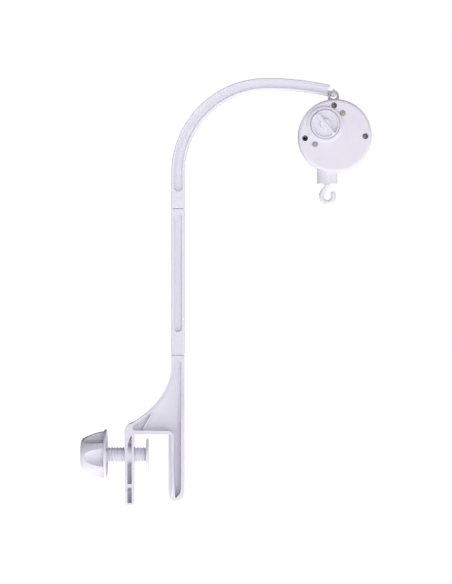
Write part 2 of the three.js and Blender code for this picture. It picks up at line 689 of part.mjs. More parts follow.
function springArbor() {
  return rod('Y', 2, BOX.rear - 4.6, 4.4, [0, 0, 0], 16);
}

function ratchetWheel() {
  const shape = polygon(Array.from({ length: 24 }, (_, i) => {
    const radius = i % 2 === 0 ? 7 : 5.6;
    const angle = 2 * Math.PI * (i % 2 === 0 ? i : i - 0.8) / 24;
    return [radius * Math.cos(angle), radius * Math.sin(angle)];
  }));
  circleHole(shape, 0, 0, 2.3);
  return slabXZ(shape, -17.3, -15.1, 8);
}

function clickSpring() {
  const leaf = polygon([[7.5, -1], [8.1, -1], [9.2, 9], [13.5, 9], [13.5, 12], [8.6, 12]]);
  return slabXZ(leaf, -17, -15);
}

function springBarrel() {
  const body = turned('Y', [
    [2.4, -12.2], [BARREL.crown, -12.2], [BARREL.crown, -8.4], [BARREL.crownInner, -8.4],
    [BARREL.crownInner, -10.4], [BARREL.radius, -10.4], [BARREL.radius, 1.6],
    [BARREL.radius - 1.4, 1.6], [BARREL.radius - 1.4, -10.6], [2.4, -10.6], [2.4, -12.2],
  ], [0, 0, 0], 20);
  const teeth = Array.from({ length: 40 }, (_, i) => {
    const tooth = new THREE.BoxGeometry(BARREL.crown - BARREL.crownInner - 0.4, 2.2, 1.1);
    tooth.translate((BARREL.crown + BARREL.crownInner) / 2, -7.7, 0);
    tooth.rotateY(2 * Math.PI * (i + 0.5) / 40);
    return solid(tooth);
  });
  return join(body, ...teeth);
}

function mainspring() {
  const turns = 4;
  const steps = turns * 16;
  const thickness = 0.6;
  const spiral = (extra) => Array.from({ length: steps + 1 }, (_, i) => {
    const angle = 2 * Math.PI * turns * i / steps;
    const radius = 3.4 + 5.8 * i / steps + extra;
    return [radius * Math.cos(angle), radius * Math.sin(angle)];
  });
  return slabXZ(polygon([...spiral(thickness), ...spiral(0).reverse()]), -9.6, 0.6);
}

function toneCylinder() {
  const { radius, from, to, depth } = CYLINDER;
  const at = [0, depth, 0];
  const drum = ring('X', 1.5, radius, from, to, at, 20);
  const pins = Array.from({ length: 20 }, (_, i) => {
    const angle = 2 * Math.PI * ((i * 7) % 20 + 0.5) / 20;
    const row = (i * 5) % COMB_TEETH;
    const pin = new THREE.BoxGeometry(0.5, 0.5, 1.8);
    pin.translate(from + 1.6 + row * 1.1, 0, radius + 0.1);
    pin.rotateX(angle);
    pin.translate(0, depth, 0);
    return solid(pin);
  });
  return join(drum, ...pins);
}

function gearAlongX(shape, from, to, z) {
  const geometry = extruded(shape, to - from, 8);
  geometry.applyMatrix4(DRAWN_IN_YZ);
  geometry.translate(from, CYLINDER.depth, z);
  return solid(geometry);
}

function toneComb() {
  const [tip, root, back] = [8.2, 19.5, 27];
  const [from, pitch] = [21.3, 1.1];
  const points = [[from, back], [from, tip]];
  for (let i = 0; i < COMB_TEETH; i += 1) {
    const x = from + i * pitch;
    points.push([x + 0.75, tip]);
    if (i < COMB_TEETH - 1) points.push([x + 0.75, root], [x + pitch, root], [x + pitch, tip]);
  }
  points.push([from + (COMB_TEETH - 1) * pitch + 0.75, back]);
  const shape = polygon(points);
  COMB_SCREWS.at.forEach((x) => circleHole(shape, x, COMB_SCREWS.z, 1.5));
  return slabXZ(shape, -3.3, -2, 8);
}

function combBase() {
  const base = block([21.3, 40.7], [PLATE.face + GAP, -3.6], [20.2, 28]);
  return cut(base, ...COMB_SCREWS.at.map((x) => rod('Y', 1.5, -9, 0, [x, 0, COMB_SCREWS.z], 12)));
}

function governorPinionArbor() {
  const pinion = gearAlongX(gearShape(10, 1.7, 2.5, 0.5), 43.2, 45.2, GOVERNOR.z);
  return join(pinion, rod('X', 0.8, 42.6, 49.2, [0, CYLINDER.depth, GOVERNOR.z], 12));
}

function governorCrownWheel() {
  const at = [0, CYLINDER.depth, GOVERNOR.z];
  const wheel = ring('X', 1.1, 5.4, 47.9, 48.7, at, 24);
  const teeth = Array.from({ length: 12 }, (_, i) => {
    const tooth = new THREE.BoxGeometry(1.4, 1, 0.7);
    tooth.translate(49, 4.8, 0);
    tooth.rotateX(2 * Math.PI * i / 12);
    tooth.translate(...at);
    return solid(tooth);
  });
  return join(wheel, ...teeth);
}

function governorFly() {
  const { flyX, z, vane } = GOVERNOR;
  const at = [flyX, 0, z];
  const shaft = rod('Y', 0.8, PLATE.back + 0.4, 9.4, at, 12);
  const pinion = rod('Y', 1.6, -9.4, -6.6, at, 8);
  const vanes = block([flyX - 0.3, flyX + 0.3], [3.3, 8.7], [z - vane, z + vane]);
  return join(shaft, pinion, vanes);
}

// ---------------------------------------------------------------- hook and its shaft

function hookBush() {
  return turned('Z', [
    [3.6, NECK.bottom - 0.6], [4.9, NECK.bottom - 0.6], [4.9, NECK.bottom + 3.1], [8, NECK.bottom + 3.1],
    [8, NECK.bottom + 4.6], [3.6, NECK.bottom + 4.6], [3.6, NECK.bottom - 0.6],
  ], [NECK.x, 0, 0], 24);
}

function hookRoute() {
  const { x, z, bend } = HOOK_EYE;
  const loop = [150, 180, 215, 250, 270, 305, 340, 383].map((degrees) => {
    const angle = degrees * Math.PI / 180;
    return [x + bend * Math.cos(angle), z + bend * Math.sin(angle)];
  });
  const route = [[NECK.x, NECK.bottom + 2], [NECK.x - 0.1, NECK.bottom - 3.5], [x - 4.2, z + 9.3], ...loop];
  return new THREE.CatmullRomCurve3(route.map(([px, pz]) => new THREE.Vector3(px, 0, pz)));
}

function swivelHook() {
  const section = new THREE.Shape();
  section.absarc(0, 0, HOOK_EYE.section, 0, 2 * Math.PI, false);
  const route = hookRoute();
  const along = { extrudePath: route, steps: 22, curveSegments: 4 };
  const bend = solid(new THREE.ExtrudeGeometry(section, along));
  const end = route.getPoint(1);
  const tip = new THREE.SphereGeometry(HOOK_EYE.section, 8, 6);
  tip.translate(end.x, end.y, end.z);
  const at = [NECK.x, 0, 0];
  const stem = turned('Z', [
    [0, NECK.bottom - 1], [3.3, NECK.bottom - 1], [3.3, NECK.bottom + 4.9], [6.8, NECK.bottom + 4.9],
    [6.8, NECK.bottom + 7.4], [4, NECK.bottom + 8.4], [4, NECK.bottom + 14], [0, NECK.bottom + 14],
  ], at, 24);
  const bore = rod('Z', 2.1, NECK.bottom + 1, NECK.bottom + 20, at, 16);
  const seat = block([HOOK_EYE.x - 1.5, HOOK_EYE.x + 1.5], [-4, 4], [HOOK_EYE.z - 5.3, HOOK_EYE.z - 3]);
  return cut(join(bend, solid(tip), stem), bore, seat);
}

function hookShaft() {
  return rod('Z', 1.8, NECK.bottom + 1.3, KEY.z - 12.9, [NECK.x, 0, 0], 16);
}

function hookPinion() {
  const geometry = extruded(gearShape(15, 4.6, 6.2, 2.1), 3.4, 8);
  geometry.translate(NECK.x, 0, KEY.z - 17.7);
  return solid(geometry);
}

// ---------------------------------------------------------------- assembly

place('clamp_bracket', clampBracket(), WHITE_PLASTIC);
place('clamp_knob', clampKnob(), WHITE_PLASTIC);
place('clamp_spindle', clampSpindle(), WHITE_PLASTIC);
place('pressure_disc', pressureDisc(), WHITE_PLASTIC);
place('disc_retaining_screw', discRetainingScrew(), STEEL);
place('middle_post', middlePost(), WHITE_PLASTIC);
place('curved_arm', curvedArm(), WHITE_PLASTIC);
place('hanging_eyelet', hangingEyelet(), NATURAL_PLASTIC);
place('rear_cover', rearCover(), WHITE_PLASTIC);
place('front_cover', frontCover(), WHITE_PLASTIC);
place('winding_key', windingKey(), WHITE_PLASTIC);
caseScrewPlaces.forEach((p, i) => {
  place(`case_screw_${i + 1}`, crossHeadScrew(p.x, p.z, WELL.seat - GAP, 3.2, 2.2, 1.5, 8), STEEL);
});
MOVEMENT_SCREWS.forEach((p, i) => {
  const seat = BOX.rear + 0.8 - GAP;
  place(`movement_screw_${i + 1}`, crossHeadScrew(p.x, p.z, seat, 3.6, 1.6, 1.5, -11.4), STEEL);
});
place('hook_bush', hookBush(), NATURAL_PLASTIC);
place('swivel_hook', swivelHook(), WHITE_PLASTIC);
place('hook_shaft', hookShaft(), STEEL);
place('hook_pinion', hookPinion(), BRASS);

place('movement_bedplate', movementBedplate(), STEEL, movement);
place('cylinder_bracket_near', cylinderBracket(18.5, 19.5, -4.2, [[0, 1.5]]), STEEL, movement);
const farBores = [[0, 1.5], [GOVERNOR.z, 1.1]];
place('cylinder_bracket_far', cylinderBracket(46, 47.2, -14, farBores), STEEL, movement);
place('spring_arbor', springArbor(), STEEL, movement);
place('ratchet_wheel', ratchetWheel(), STEEL, movement);
place('click_spring', clickSpring(), SPRING_STEEL, movement);
place('spring_barrel', springBarrel(), BRASS, movement);
place('mainspring', mainspring(), SPRING_STEEL, movement);
place('barrel_lid', ring('Y', 2.4, BARREL.radius, 1.9, 3.1, [0, 0, 0], 32), BRASS, movement);
place('tone_cylinder', toneCylinder(), BRASS, movement);
place('cylinder_arbor', rod('X', 1.2, 13.6, 48, [0, CYLINDER.depth, 0], 14), STEEL, movement);
place('cylinder_pinion', gearAlongX(gearShape(8, 2.4, 3.4, 1.5), 14.4, 17.6, 0), BRASS, movement);
place('cylinder_gear', gearAlongX(gearShape(30, 6.7, 7.6, 1.5), 43.2, 45.2, 0), BRASS, movement);
place('comb_base', combBase(), STEEL, movement);
place('tone_comb', toneComb(), SPRING_STEEL, movement);
COMB_SCREWS.at.forEach((x, i) => {
  const flipped = crossHeadScrew(x, COMB_SCREWS.z, 1.7, 2.4, 1.6, 1.1, 8);
  const geometry = geometryOf(flipped);
  geometry.rotateZ(Math.PI);
  geometry.translate(2 * x, 0, 0);
  place(`comb_screw_${i + 1}`, solid(geometry), STEEL, movement);
});
place('governor_pinion_arbor', governorPinionArbor(), BRASS, movement);
place('governor_crown_wheel', governorCrownWheel(), BRASS, movement);
place('governor_fly', governorFly(), STEEL, movement);

export default model;
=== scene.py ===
# %% [markdown]
# # A crib mobile's arm, clamp and music box
# A plastic clamp grips the rail of a crib. A post stands on it, a curved arm is pushed on to the
# post, and a round music box hangs from the arm's end with a hook that turns as the music plays.
# The measured frame is loaded first, so that every piece has a fixed place, and its box is kept.

# %% Load the frame
import math

import bpy
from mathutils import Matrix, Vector


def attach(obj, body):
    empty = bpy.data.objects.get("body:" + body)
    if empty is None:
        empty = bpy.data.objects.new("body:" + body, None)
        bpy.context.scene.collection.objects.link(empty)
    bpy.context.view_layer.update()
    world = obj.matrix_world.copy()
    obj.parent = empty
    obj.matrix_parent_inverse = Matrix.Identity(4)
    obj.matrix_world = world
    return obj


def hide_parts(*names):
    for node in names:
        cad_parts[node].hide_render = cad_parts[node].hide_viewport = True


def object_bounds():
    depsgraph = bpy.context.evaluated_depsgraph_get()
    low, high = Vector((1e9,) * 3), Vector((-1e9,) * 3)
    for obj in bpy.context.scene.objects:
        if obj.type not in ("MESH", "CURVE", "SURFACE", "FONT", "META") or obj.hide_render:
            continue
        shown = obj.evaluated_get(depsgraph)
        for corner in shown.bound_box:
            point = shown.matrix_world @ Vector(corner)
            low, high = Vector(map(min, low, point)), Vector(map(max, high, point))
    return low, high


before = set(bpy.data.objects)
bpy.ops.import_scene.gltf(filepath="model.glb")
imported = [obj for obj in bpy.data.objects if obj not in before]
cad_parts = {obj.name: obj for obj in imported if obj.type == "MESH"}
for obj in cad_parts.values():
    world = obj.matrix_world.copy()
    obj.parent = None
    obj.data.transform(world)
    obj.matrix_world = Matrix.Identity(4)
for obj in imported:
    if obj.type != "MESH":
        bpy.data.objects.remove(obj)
frame_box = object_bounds()

# %% [markdown]
# ## Camera, light and floor
# The arm is long and flat, so it is looked at straight on through a long lens from far away,
# which keeps the post upright. A long lens also shows very little of the knob's rim.

# %% Camera
MM = 0.001
VIEW_MIDDLE = Vector((102.9, 0, 197.1)) * MM
VIEW_DISTANCE = 3.2
VIEW_HEIGHT = 0.8118

bpy.ops.object.select_all(action="DESELECT")
bpy.ops.object.camera_add(
    location=VIEW_MIDDLE - Vector((0, VIEW_DISTANCE, 0)), rotation=(math.pi / 2, 0, 0)
)
camera = bpy.context.object
camera.data.sensor_width = 36
camera.data.lens = 36 * VIEW_DISTANCE / VIEW_HEIGHT
camera.data.clip_end = 50
bpy.context.scene.camera = camera
bpy.context.scene.view_settings.view_transform = "Standard"
print("lens:", round(camera.data.lens, 1), "mm")

# %% [markdown]
# ## Shader sums
# A finish is a small sum of noise, masks and colours. Written as Python expressions, the sum
# reads like arithmetic. `Signal` wraps a socket and adds a Math node for each sign, and
# `Finish.add` makes any other node from its type, its settings and its inputs.


# %% Shader helpers
class Signal:
    def __init__(self, tree, socket):
        self.tree = tree
        self.socket = socket

    def feed(self, target):
        self.tree.links.new(self.socket, target)

    def sum(self, operation, first, second):
        node = self.tree.nodes.new("ShaderNodeMath")
        node.operation = operation
        for value, target in zip((first, second), node.inputs):
            give(value, target)
        return Signal(self.tree, node.outputs[0])

    def __add__(self, other):
        return self.sum("ADD", self, other)

    def __radd__(self, other):
        return self.sum("ADD", other, self)

    def __mul__(self, other):
        return self.sum("MULTIPLY", self, other)

    def __pow__(self, other):
        return self.sum("POWER", self, other)


def give(value, target):
    if isinstance(value, Signal):
        value.feed(target)
    else:
        target.default_value = value


class Finish:
    def __init__(self, tree):
        self.tree = tree

    def add(self, kind, settings=None, inputs=None, out=0):
        node = self.tree.nodes.new(kind)
        for key, value in (settings or {}).items():
            if key == "stops":
                ramp = node.color_ramp.elements
                while len(ramp) < len(value):
                    ramp.new(0.5)
                for stop, (place, shade) in zip(ramp, value):
                    stop.position = place
                    stop.color = (*shade, 1)
            else:
                setattr(node, key, value)
        for key, value in (inputs or {}).items():
            give(value, node.inputs[key])
        return Signal(self.tree, node.outputs[out])


def mixed(finish, share, first, second):
    settings = {"data_type": "RGBA"}
    inputs = {0: share, 6: (*first, 1) if isinstance(first, tuple) else first}
    inputs[7] = (*second, 1) if isinstance(second, tuple) else second
    return finish.add("ShaderNodeMix", settings, inputs, out=2)


print("shader helpers are ready")

# %% [markdown]
# Soft light comes mostly from below, from the front and from the right, so undersides glow and
# upper faces fall into a cool shade. The sky is a gradient along that direction. A wide panel in
# front evens out the flat faces, and a small lamp by the arm shades its channel. The camera sees
# plain white.

# %% Light and floor
world = bpy.data.worlds.new("studio")
bpy.context.scene.world = world
world.use_nodes = True
world.node_tree.nodes.clear()
sky = Finish(world.node_tree)
direction = sky.add("ShaderNodeTexCoord", out="Generated")
split = sky.add("ShaderNodeSeparateXYZ", inputs={0: direction})
parts = [Signal(split.tree, socket) for socket in split.socket.node.outputs]
LIGHT_FROM = (0.52, -0.42, -0.74)
facing = parts[0] * LIGHT_FROM[0] + parts[1] * LIGHT_FROM[1] + parts[2] * LIGHT_FROM[2]
gradient = sky.add(
    "ShaderNodeValToRGB",
    {
        "stops": [
            (0.0, (0.04, 0.03, 0.06)),
            (0.4, (0.17, 0.15, 0.21)),
            (0.62, (0.55, 0.54, 0.6)),
            (1.0, (0.98, 0.97, 1.0)),
        ]
    },
    {0: facing * 0.5 + 0.5},
)
seen = sky.add("ShaderNodeLightPath", out="Is Camera Ray")
glow = sky.add("ShaderNodeBackground", inputs={0: mixed(sky, seen, gradient, (1.0, 1.0, 1.0))})
glow.feed(world.node_tree.nodes.new("ShaderNodeOutputWorld").inputs[0])


def panel(name, place, target, size, power):
    bpy.ops.object.select_all(action="DESELECT")
    bpy.ops.object.light_add(type="AREA", location=place)
    light = bpy.context.object
    light.name = name
    light.data.size = size
    light.data.energy = power
    aim = Vector(target) - Vector(place)
    light.rotation_euler = aim.to_track_quat("-Z", "Y").to_euler()


panel("front panel", (0.75, -2.5, -0.1), (0.1, 0, 0.2), 0.9, 19)
panel("arm lamp", (-0.14, -0.2, 0.6), (0.1, 0, 0.45), 0.06, 0.22)

FLOOR_LEVEL = frame_box[0].z - 0.0005
bpy.ops.object.select_all(action="DESELECT")
bpy.ops.mesh.primitive_plane_add(size=16, location=(0, 0, FLOOR_LEVEL))
floor = bpy.context.object
floor.name = "floor"
bpy.ops.object.transform_apply(location=True, rotation=True, scale=True)
paper = bpy.data.materials.new("white_paper")
paper.use_nodes = True
paper_shader = paper.node_tree.nodes["Principled BSDF"]
paper_shader.inputs["Base Color"].default_value = (0.9, 0.9, 0.9, 1)
paper_shader.inputs["Roughness"].default_value = 0.9
paper_shader.inputs["Specular IOR Level"].default_value = 0.1
paper_shader.inputs["Emission Color"].default_value = (1, 1, 1, 1)
paper_shader.inputs["Emission Strength"].default_value = 1.0
floor.data.materials.append(paper)
print("floor at", round(FLOOR_LEVEL / MM, 1), "mm")

# %% [markdown]
# ## Finishes
# The clamp, arm and box are glossy white ABS. Injection moulding leaves a skin that is nearly
# but not quite even: a faint cool mottle, slow waves in the gloss, and a very fine grain that
# breaks up the reflections. Hands leave slightly duller patches.

# %% White moulded plastic


def plain_shader(name, colour, roughness, metallic=0.0):
    look = bpy.data.materials.new(name)
    look.use_nodes = True
    shader = look.node_tree.nodes["Principled BSDF"]
    shader.inputs["Base Color"].default_value = (*colour, 1)
    shader.inputs["Roughness"].default_value = roughness
    shader.inputs["Metallic"].default_value = metallic
    look.diffuse_color = (*colour, 1)
    return look, shader, Finish(look.node_tree)


def noise(finish, place, scale, detail=2.0):
    inputs = {"Vector": place, "Scale": scale, "Detail": detail}
    return finish.add("ShaderNodeTexNoise", inputs=inputs, out="Fac")


def bumped(finish, shader, height, strength, distance):
    inputs = {"Height": height, "Strength": strength, "Distance": distance}
    finish.add("ShaderNodeBump", inputs=inputs, out=0).feed(shader.inputs["Normal"])


def moulded_plastic(name, colour, mottle, roughness):
    look, shader, finish = plain_shader(name, colour, roughness)
    place = finish.add("ShaderNodeTexCoord", out="Object")
    cloud = noise(finish, place, 24, 3.0)
    grain = noise(finish, place, 900, 2.0)
    touch = noise(finish, place, 55, 4.0)
    shade = mixed(finish, cloud, colour, mottle)
    shade.feed(shader.inputs["Base Color"])
    (roughness - 0.05 + touch * 0.07 + grain * 0.05).feed(shader.inputs["Roughness"])
    bumped(finish, shader, touch, 0.06, 0.001)
    shader.inputs["IOR"].default_value = 1.5
    shader.inputs["Coat Weight"].default_value = 0.15
    shader.inputs["Coat Roughness"].default_value = 0.12
    return look


white_plastic = moulded_plastic(
    "white_plastic", (0.84, 0.83, 0.885), (0.8, 0.785, 0.855), 0.3
)
natural_plastic = moulded_plastic(
    "natural_plastic", (0.62, 0.59, 0.6), (0.54, 0.51, 0.52), 0.42
)
print("plastics:", white_plastic.name, natural_plastic.name)

# %% [markdown]
# Metal parts are turned, blanked or plated. Stretched noise draws the fine lines that the tool
# leaves, and a broad noise gives the slightly uneven colour of plating and of brass that has
# been handled.

# %% Metals


def worked_metal(name, colour, tarnish, roughness):
    look, shader, finish = plain_shader(name, colour, roughness, 1.0)
    place = finish.add("ShaderNodeTexCoord", out="Object")
    settings = {"vector_type": "POINT"}
    drawn = finish.add("ShaderNodeMapping", settings, {"Vector": place, "Scale": (1, 9, 1)})
    lines = noise(finish, drawn, 600, 2.0)
    cloud = noise(finish, place, 150, 3.0)
    mixed(finish, cloud ** 2, colour, tarnish).feed(shader.inputs["Base Color"])
    (roughness - 0.08 + lines * 0.12 + cloud * 0.08).feed(shader.inputs["Roughness"])
    bumped(finish, shader, lines, 0.12, 0.0002)
    return look


metals = {
    "screw_steel": worked_metal("screw_steel", (0.46, 0.46, 0.44), (0.3, 0.3, 0.3), 0.52),
    "plate_steel": worked_metal("plate_steel", (0.6, 0.6, 0.62), (0.45, 0.45, 0.47), 0.4),
    "spring_steel": worked_metal("spring_steel", (0.3, 0.32, 0.36), (0.2, 0.21, 0.24), 0.34),
    "brass": worked_metal("brass", (0.78, 0.6, 0.28), (0.6, 0.42, 0.2), 0.33),
}
finishes = {"white_plastic": white_plastic, "natural_plastic": natural_plastic, **metals}
print("finishes:", ", ".join(finishes))

# %% [markdown]
# ## Modelling helpers
# Most of these parts are a flat outline given a thickness, or a profile turned on an axis. An
# outline is drawn the way it is by hand: one vertex is extruded from point to point, F fills it,
# and E gives it depth. All places are in millimetres here and become metres at the last step.


# %% Drawing an outline
def only(*pieces):
    bpy.ops.object.select_all(action="DESELECT")
    for piece in pieces:
        piece.select_set(True)
    bpy.context.view_layer.objects.active = pieces[0]


def edit(piece, select="SELECT"):
    only(piece)
    bpy.ops.object.mode_set(mode="EDIT")
    bpy.ops.mesh.select_all(action=select)


def leave():
    bpy.ops.object.mode_set(mode="OBJECT")


def drawn_line(name, places):
    bpy.ops.object.select_all(action="DESELECT")
    bpy.ops.mesh.primitive_plane_add(size=MM, location=Vector(places[0]) * MM)
    line = bpy.context.object
    line.name = name
    bpy.ops.object.transform_apply(location=True, rotation=True, scale=True)
    edit(line)
    bpy.ops.mesh.merge(type="CENTER")
    for here, there in zip(places, places[1:]):
        step = (Vector(there) - Vector(here)) * MM
        bpy.ops.mesh.extrude_region_move(TRANSFORM_OT_translate={"value": step})
    return line


def sit(plane, level, outline):
    """Puts the outline's two numbers and the level where the named plane has them."""
    order = {"XZ": (0, 2, 1), "YZ": (2, 0, 1), "XY": (0, 1, 2)}[plane]
    return [tuple((u, v, level)[i] for i in order) for u, v in outline]


def slab(name, outline, start, end, plane="XZ"):
    """A filled outline that stands from one level to another across its plane."""
    piece = drawn_line(name, sit(plane, start, outline))
    bpy.ops.mesh.select_all(action="SELECT")
    bpy.ops.mesh.edge_face_add()
    across = Vector(sit(plane, end - start, [(0, 0)])[0]) * MM
    bpy.ops.mesh.extrude_region_move(TRANSFORM_OT_translate={"value": across})
    bpy.ops.mesh.select_all(action="SELECT")
    bpy.ops.mesh.normals_make_consistent(inside=False)
    leave()
    return piece


def block(name, x, y, z):
    corners = [(x[0], z[0]), (x[1], z[0]), (x[1], z[1]), (x[0], z[1])]
    return slab(name, corners, y[0], y[1])


def arc(centre, radius, start, end, steps):
    """Points on an arc, its angles in degrees."""
    turns = [math.radians(start + (end - start) * i / steps) for i in range(steps + 1)]
    return [(centre[0] + radius * math.cos(t), centre[1] + radius * math.sin(t)) for t in turns]


def bend(*controls, steps=12, both_ends=False):
    """Points on a Bezier curve, its first point left out unless both ends are wanted."""
    points = []
    for i in range(0 if both_ends else 1, steps + 1):
        row = [Vector(c) for c in controls]
        while len(row) > 1:
            row = [a.lerp(b, i / steps) for a, b in zip(row, row[1:])]
        points.append(tuple(row[0]))
    return points


print("outline helpers are ready")

# %% [markdown]
# A knob, a disc or a screw is a profile spun round its axis. The profile's points are given as
# radius and distance along the axis, and after the spin the doubled vertices at the seam and
# at the poles are merged, so that the solid is closed.


# %% Turning, joining and cutting
def spun(name, profile, axis, centre=(0, 0, 0), steps=64):
    cx, cy, cz = centre
    spots = {
        "X": [(cx + along, cy, cz + radius) for radius, along in profile],
        "Y": [(cx + radius, cy + along, cz) for radius, along in profile],
        "Z": [(cx + radius, cy, cz + along) for radius, along in profile],
    }[axis]
    piece = drawn_line(name, spots)
    bpy.ops.mesh.select_all(action="SELECT")
    about = {"X": (1, 0, 0), "Y": (0, 1, 0), "Z": (0, 0, 1)}[axis]
    middle = Vector(centre) * MM
    bpy.ops.mesh.spin(steps=steps, angle=2 * math.pi, center=middle, axis=about)
    bpy.ops.mesh.select_all(action="SELECT")
    bpy.ops.mesh.remove_doubles(threshold=0.002 * MM)
    bpy.ops.mesh.normals_make_consistent(inside=False)
    leave()
    return piece


def rod(name, axis, radius, start, end, centre=(0, 0, 0), steps=48):
    return spun(name, [(0, start), (radius, start), (radius, end), (0, end)], axis, centre, steps)


def fresh_modifier(piece, kind, settings):
    only(piece)
    bpy.ops.object.modifier_add(type=kind)
    modifier = piece.modifiers[-1]
    for key, value in settings.items():
        setattr(modifier, key, value)
    bpy.ops.object.modifier_apply(modifier=modifier.name)


def combine(piece, operation, tools):
    for tool in tools:
        settings = {"operation": operation, "object": tool, "solver": "MANIFOLD"}
        fresh_modifier(piece, "BOOLEAN", settings)
        bpy.data.objects.remove(tool)
    return piece


def joined(piece, *tools):
    return combine(piece, "UNION", tools)


def less(piece, *tools):
    return combine(piece, "DIFFERENCE", tools)


def softened(piece, width, segments=2, angle=32):
    """Rounds the sharp edges, as every moulded edge is, and shades the rest smooth."""
    edit(piece)
    bpy.ops.mesh.remove_doubles(threshold=0.004 * MM)
    bpy.ops.mesh.dissolve_limited(angle_limit=math.radians(0.4))
    leave()
    settings = {"width": width * MM, "segments": segments, "limit_method": "ANGLE"}
    settings["angle_limit"] = math.radians(angle)
    fresh_modifier(piece, "BEVEL", settings)
    return smooth(piece)


def smooth(piece, angle=35):
    only(piece)
    bpy.ops.object.shade_smooth_by_angle(angle=math.radians(angle))
    fresh_modifier(piece, "WEIGHTED_NORMAL", {"keep_sharp": True})
    return piece


def finished(piece, body, slot, *nodes):
    """Gives a piece its finish and body, and hides the frame's parts that it stands in for, in one go.
    """
    piece.data.materials.clear()
    piece.data.materials.append(finishes[slot])
    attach(piece, body)
    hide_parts(*nodes)
    print(piece.name, "has", len(piece.data.polygons), "faces")


print("turning and cutting helpers are ready")

# %% [markdown]
# ## The post
# A straight bar with softened corners and a long blind slot in each face, which saves plastic
# and keeps the walls even, so that the face doesn't sink as it cools. A tongue on top is pushed
# into the arm, and a socket underneath takes the bracket's tongue.

# %% Post
GAP = 0.3
POST_LEFT, POST_RIGHT, POST_HALF = 27.0, 45.5, 7.5
POST_BOTTOM, POST_TOP = 109.3, 312.9
TONGUE = {"x": (30, 42), "y": (-4.3, 4.3), "length": 26}


def slot_outline(middle, bottom, top, width):
    radius = width / 2
    lower = arc((middle, bottom + radius), radius, 180, 360, 24)
    upper = arc((middle, top - radius), radius, 0, 180, 24)
    return lower + upper


def tongue(name, bottom, top, gap=0.0):
    x, y = TONGUE["x"], TONGUE["y"]
    return block(name, (x[0] - gap, x[1] + gap), (y[0] - gap, y[1] + gap), (bottom, top))


post = block("middle_post_bar", (POST_LEFT, POST_RIGHT), (-POST_HALF, POST_HALF),
             (POST_BOTTOM, POST_TOP))
post = softened(post, 1.6, segments=4)
slot = slot_outline(36.25, 141.8, 307.3, 10.3)
less(
    post,
    slab("slot_cutter", slot, -POST_HALF - 1, -POST_HALF + 4.5),
    slab("slot_cutter", slot, POST_HALF - 4.5, POST_HALF + 1),
    tongue("socket_cutter", POST_BOTTOM - 1, POST_BOTTOM + TONGUE["length"] + GAP, GAP),
)
joined(post, tongue("post_tongue", POST_TOP - 3, POST_TOP + TONGUE["length"]))
post = softened(post, 0.45)
finished(post, "clamp", "white_plastic", "middle_post")

# %% [markdown]
# ## The curved arm
# One moulding: upright at the post, bent through a quarter circle, then nearly straight to its
# end. It narrows a little on the way. A channel in each face leaves a thin web between two rims,
# the outer one thicker, which is the lightest way to make such an arm stiff.

# %% Arm
ARM_BOTTOM = POST_TOP + GAP
BEND_MIDDLE, BEND_RADIUS = (159.6, 361.4), 132.6
REACH_RADIUS, REACH_ANGLE = 400.0, 12.8
ARM_WIDTHS = (18.5, 15.2)
CHANNEL = {"start": 342.4, "depth": 4.5, "outer": 3.6, "inner": 2.6}


def arm_edge():
    """The outer edge as point, outward direction and width."""
    up = [(POST_LEFT, ARM_BOTTOM), (POST_LEFT, CHANNEL["start"])]
    edge = [(Vector(p), Vector((-1, 0))) for p in up]
    for place, way in zip(
        arc(BEND_MIDDLE, BEND_RADIUS, 180, 90, 64), arc((0, 0), 1, 180, 90, 64)
    ):
        edge.append((Vector(place), Vector(way)))
    reach_middle = (BEND_MIDDLE[0], BEND_MIDDLE[1] + BEND_RADIUS - REACH_RADIUS)
    turn = (90, 90 - REACH_ANGLE, 20)
    reach = list(zip(arc(reach_middle, REACH_RADIUS, *turn), arc((0, 0), 1, *turn)))
    edge += [(Vector(place), Vector(way)) for place, way in reach[1:]]
    lengths = [0.0]
    for (here, _), (there, _) in zip(edge, edge[1:]):
        lengths.append(lengths[-1] + (there - here).length)
    start, end = ARM_WIDTHS
    widths = [start + (end - start) * along / lengths[-1] for along in lengths]
    return [(place, way, width) for (place, way), width in zip(edge, widths)]


def arm_band(edge, outer, inner):
    """A band that follows the arm, between two distances in from its edges."""
    far = [place - way * outer for place, way, _ in edge]
    near = [place - way * (width - inner) for place, way, width in edge]
    return [tuple(p) for p in far + near[::-1]]


edge = arm_edge()
arm = slab("curved_arm_bar", arm_band(edge, 0, 0), -POST_HALF, POST_HALF)
arm = softened(arm, 1.7, segments=4)
channel = arm_band(edge[1:], CHANNEL["outer"], CHANNEL["inner"])
channel_left = POST_LEFT + CHANNEL["outer"]
channel_right = POST_LEFT + edge[1][2] - CHANNEL["inner"]
round_middle = ((channel_left + channel_right) / 2, CHANNEL["start"])
round_end = arc(round_middle, (channel_right - channel_left) / 2, 0, 352.5, 47)
for near, far in ((-POST_HALF - 1, -POST_HALF + CHANNEL["depth"]),
                  (POST_HALF - CHANNEL["depth"], POST_HALF + 1)):
    cutter = joined(slab("channel_cutter", channel, near, far),
                    slab("channel_end_cutter", round_end, near, far))
    less(arm, cutter)
less(arm, tongue("socket_cutter", ARM_BOTTOM - 1, ARM_BOTTOM + TONGUE["length"] + GAP, GAP))
print("arm width:", round(edge[0][2], 1), "to", round(edge[-1][2], 1), "mm")

# %% [markdown]
# The arm's end is hollowed out round the box's eyelet. A thin finger stays behind the eyelet and
# carries the peg that the box hangs on. The peg's head is wider, so the eyelet can't slip off.

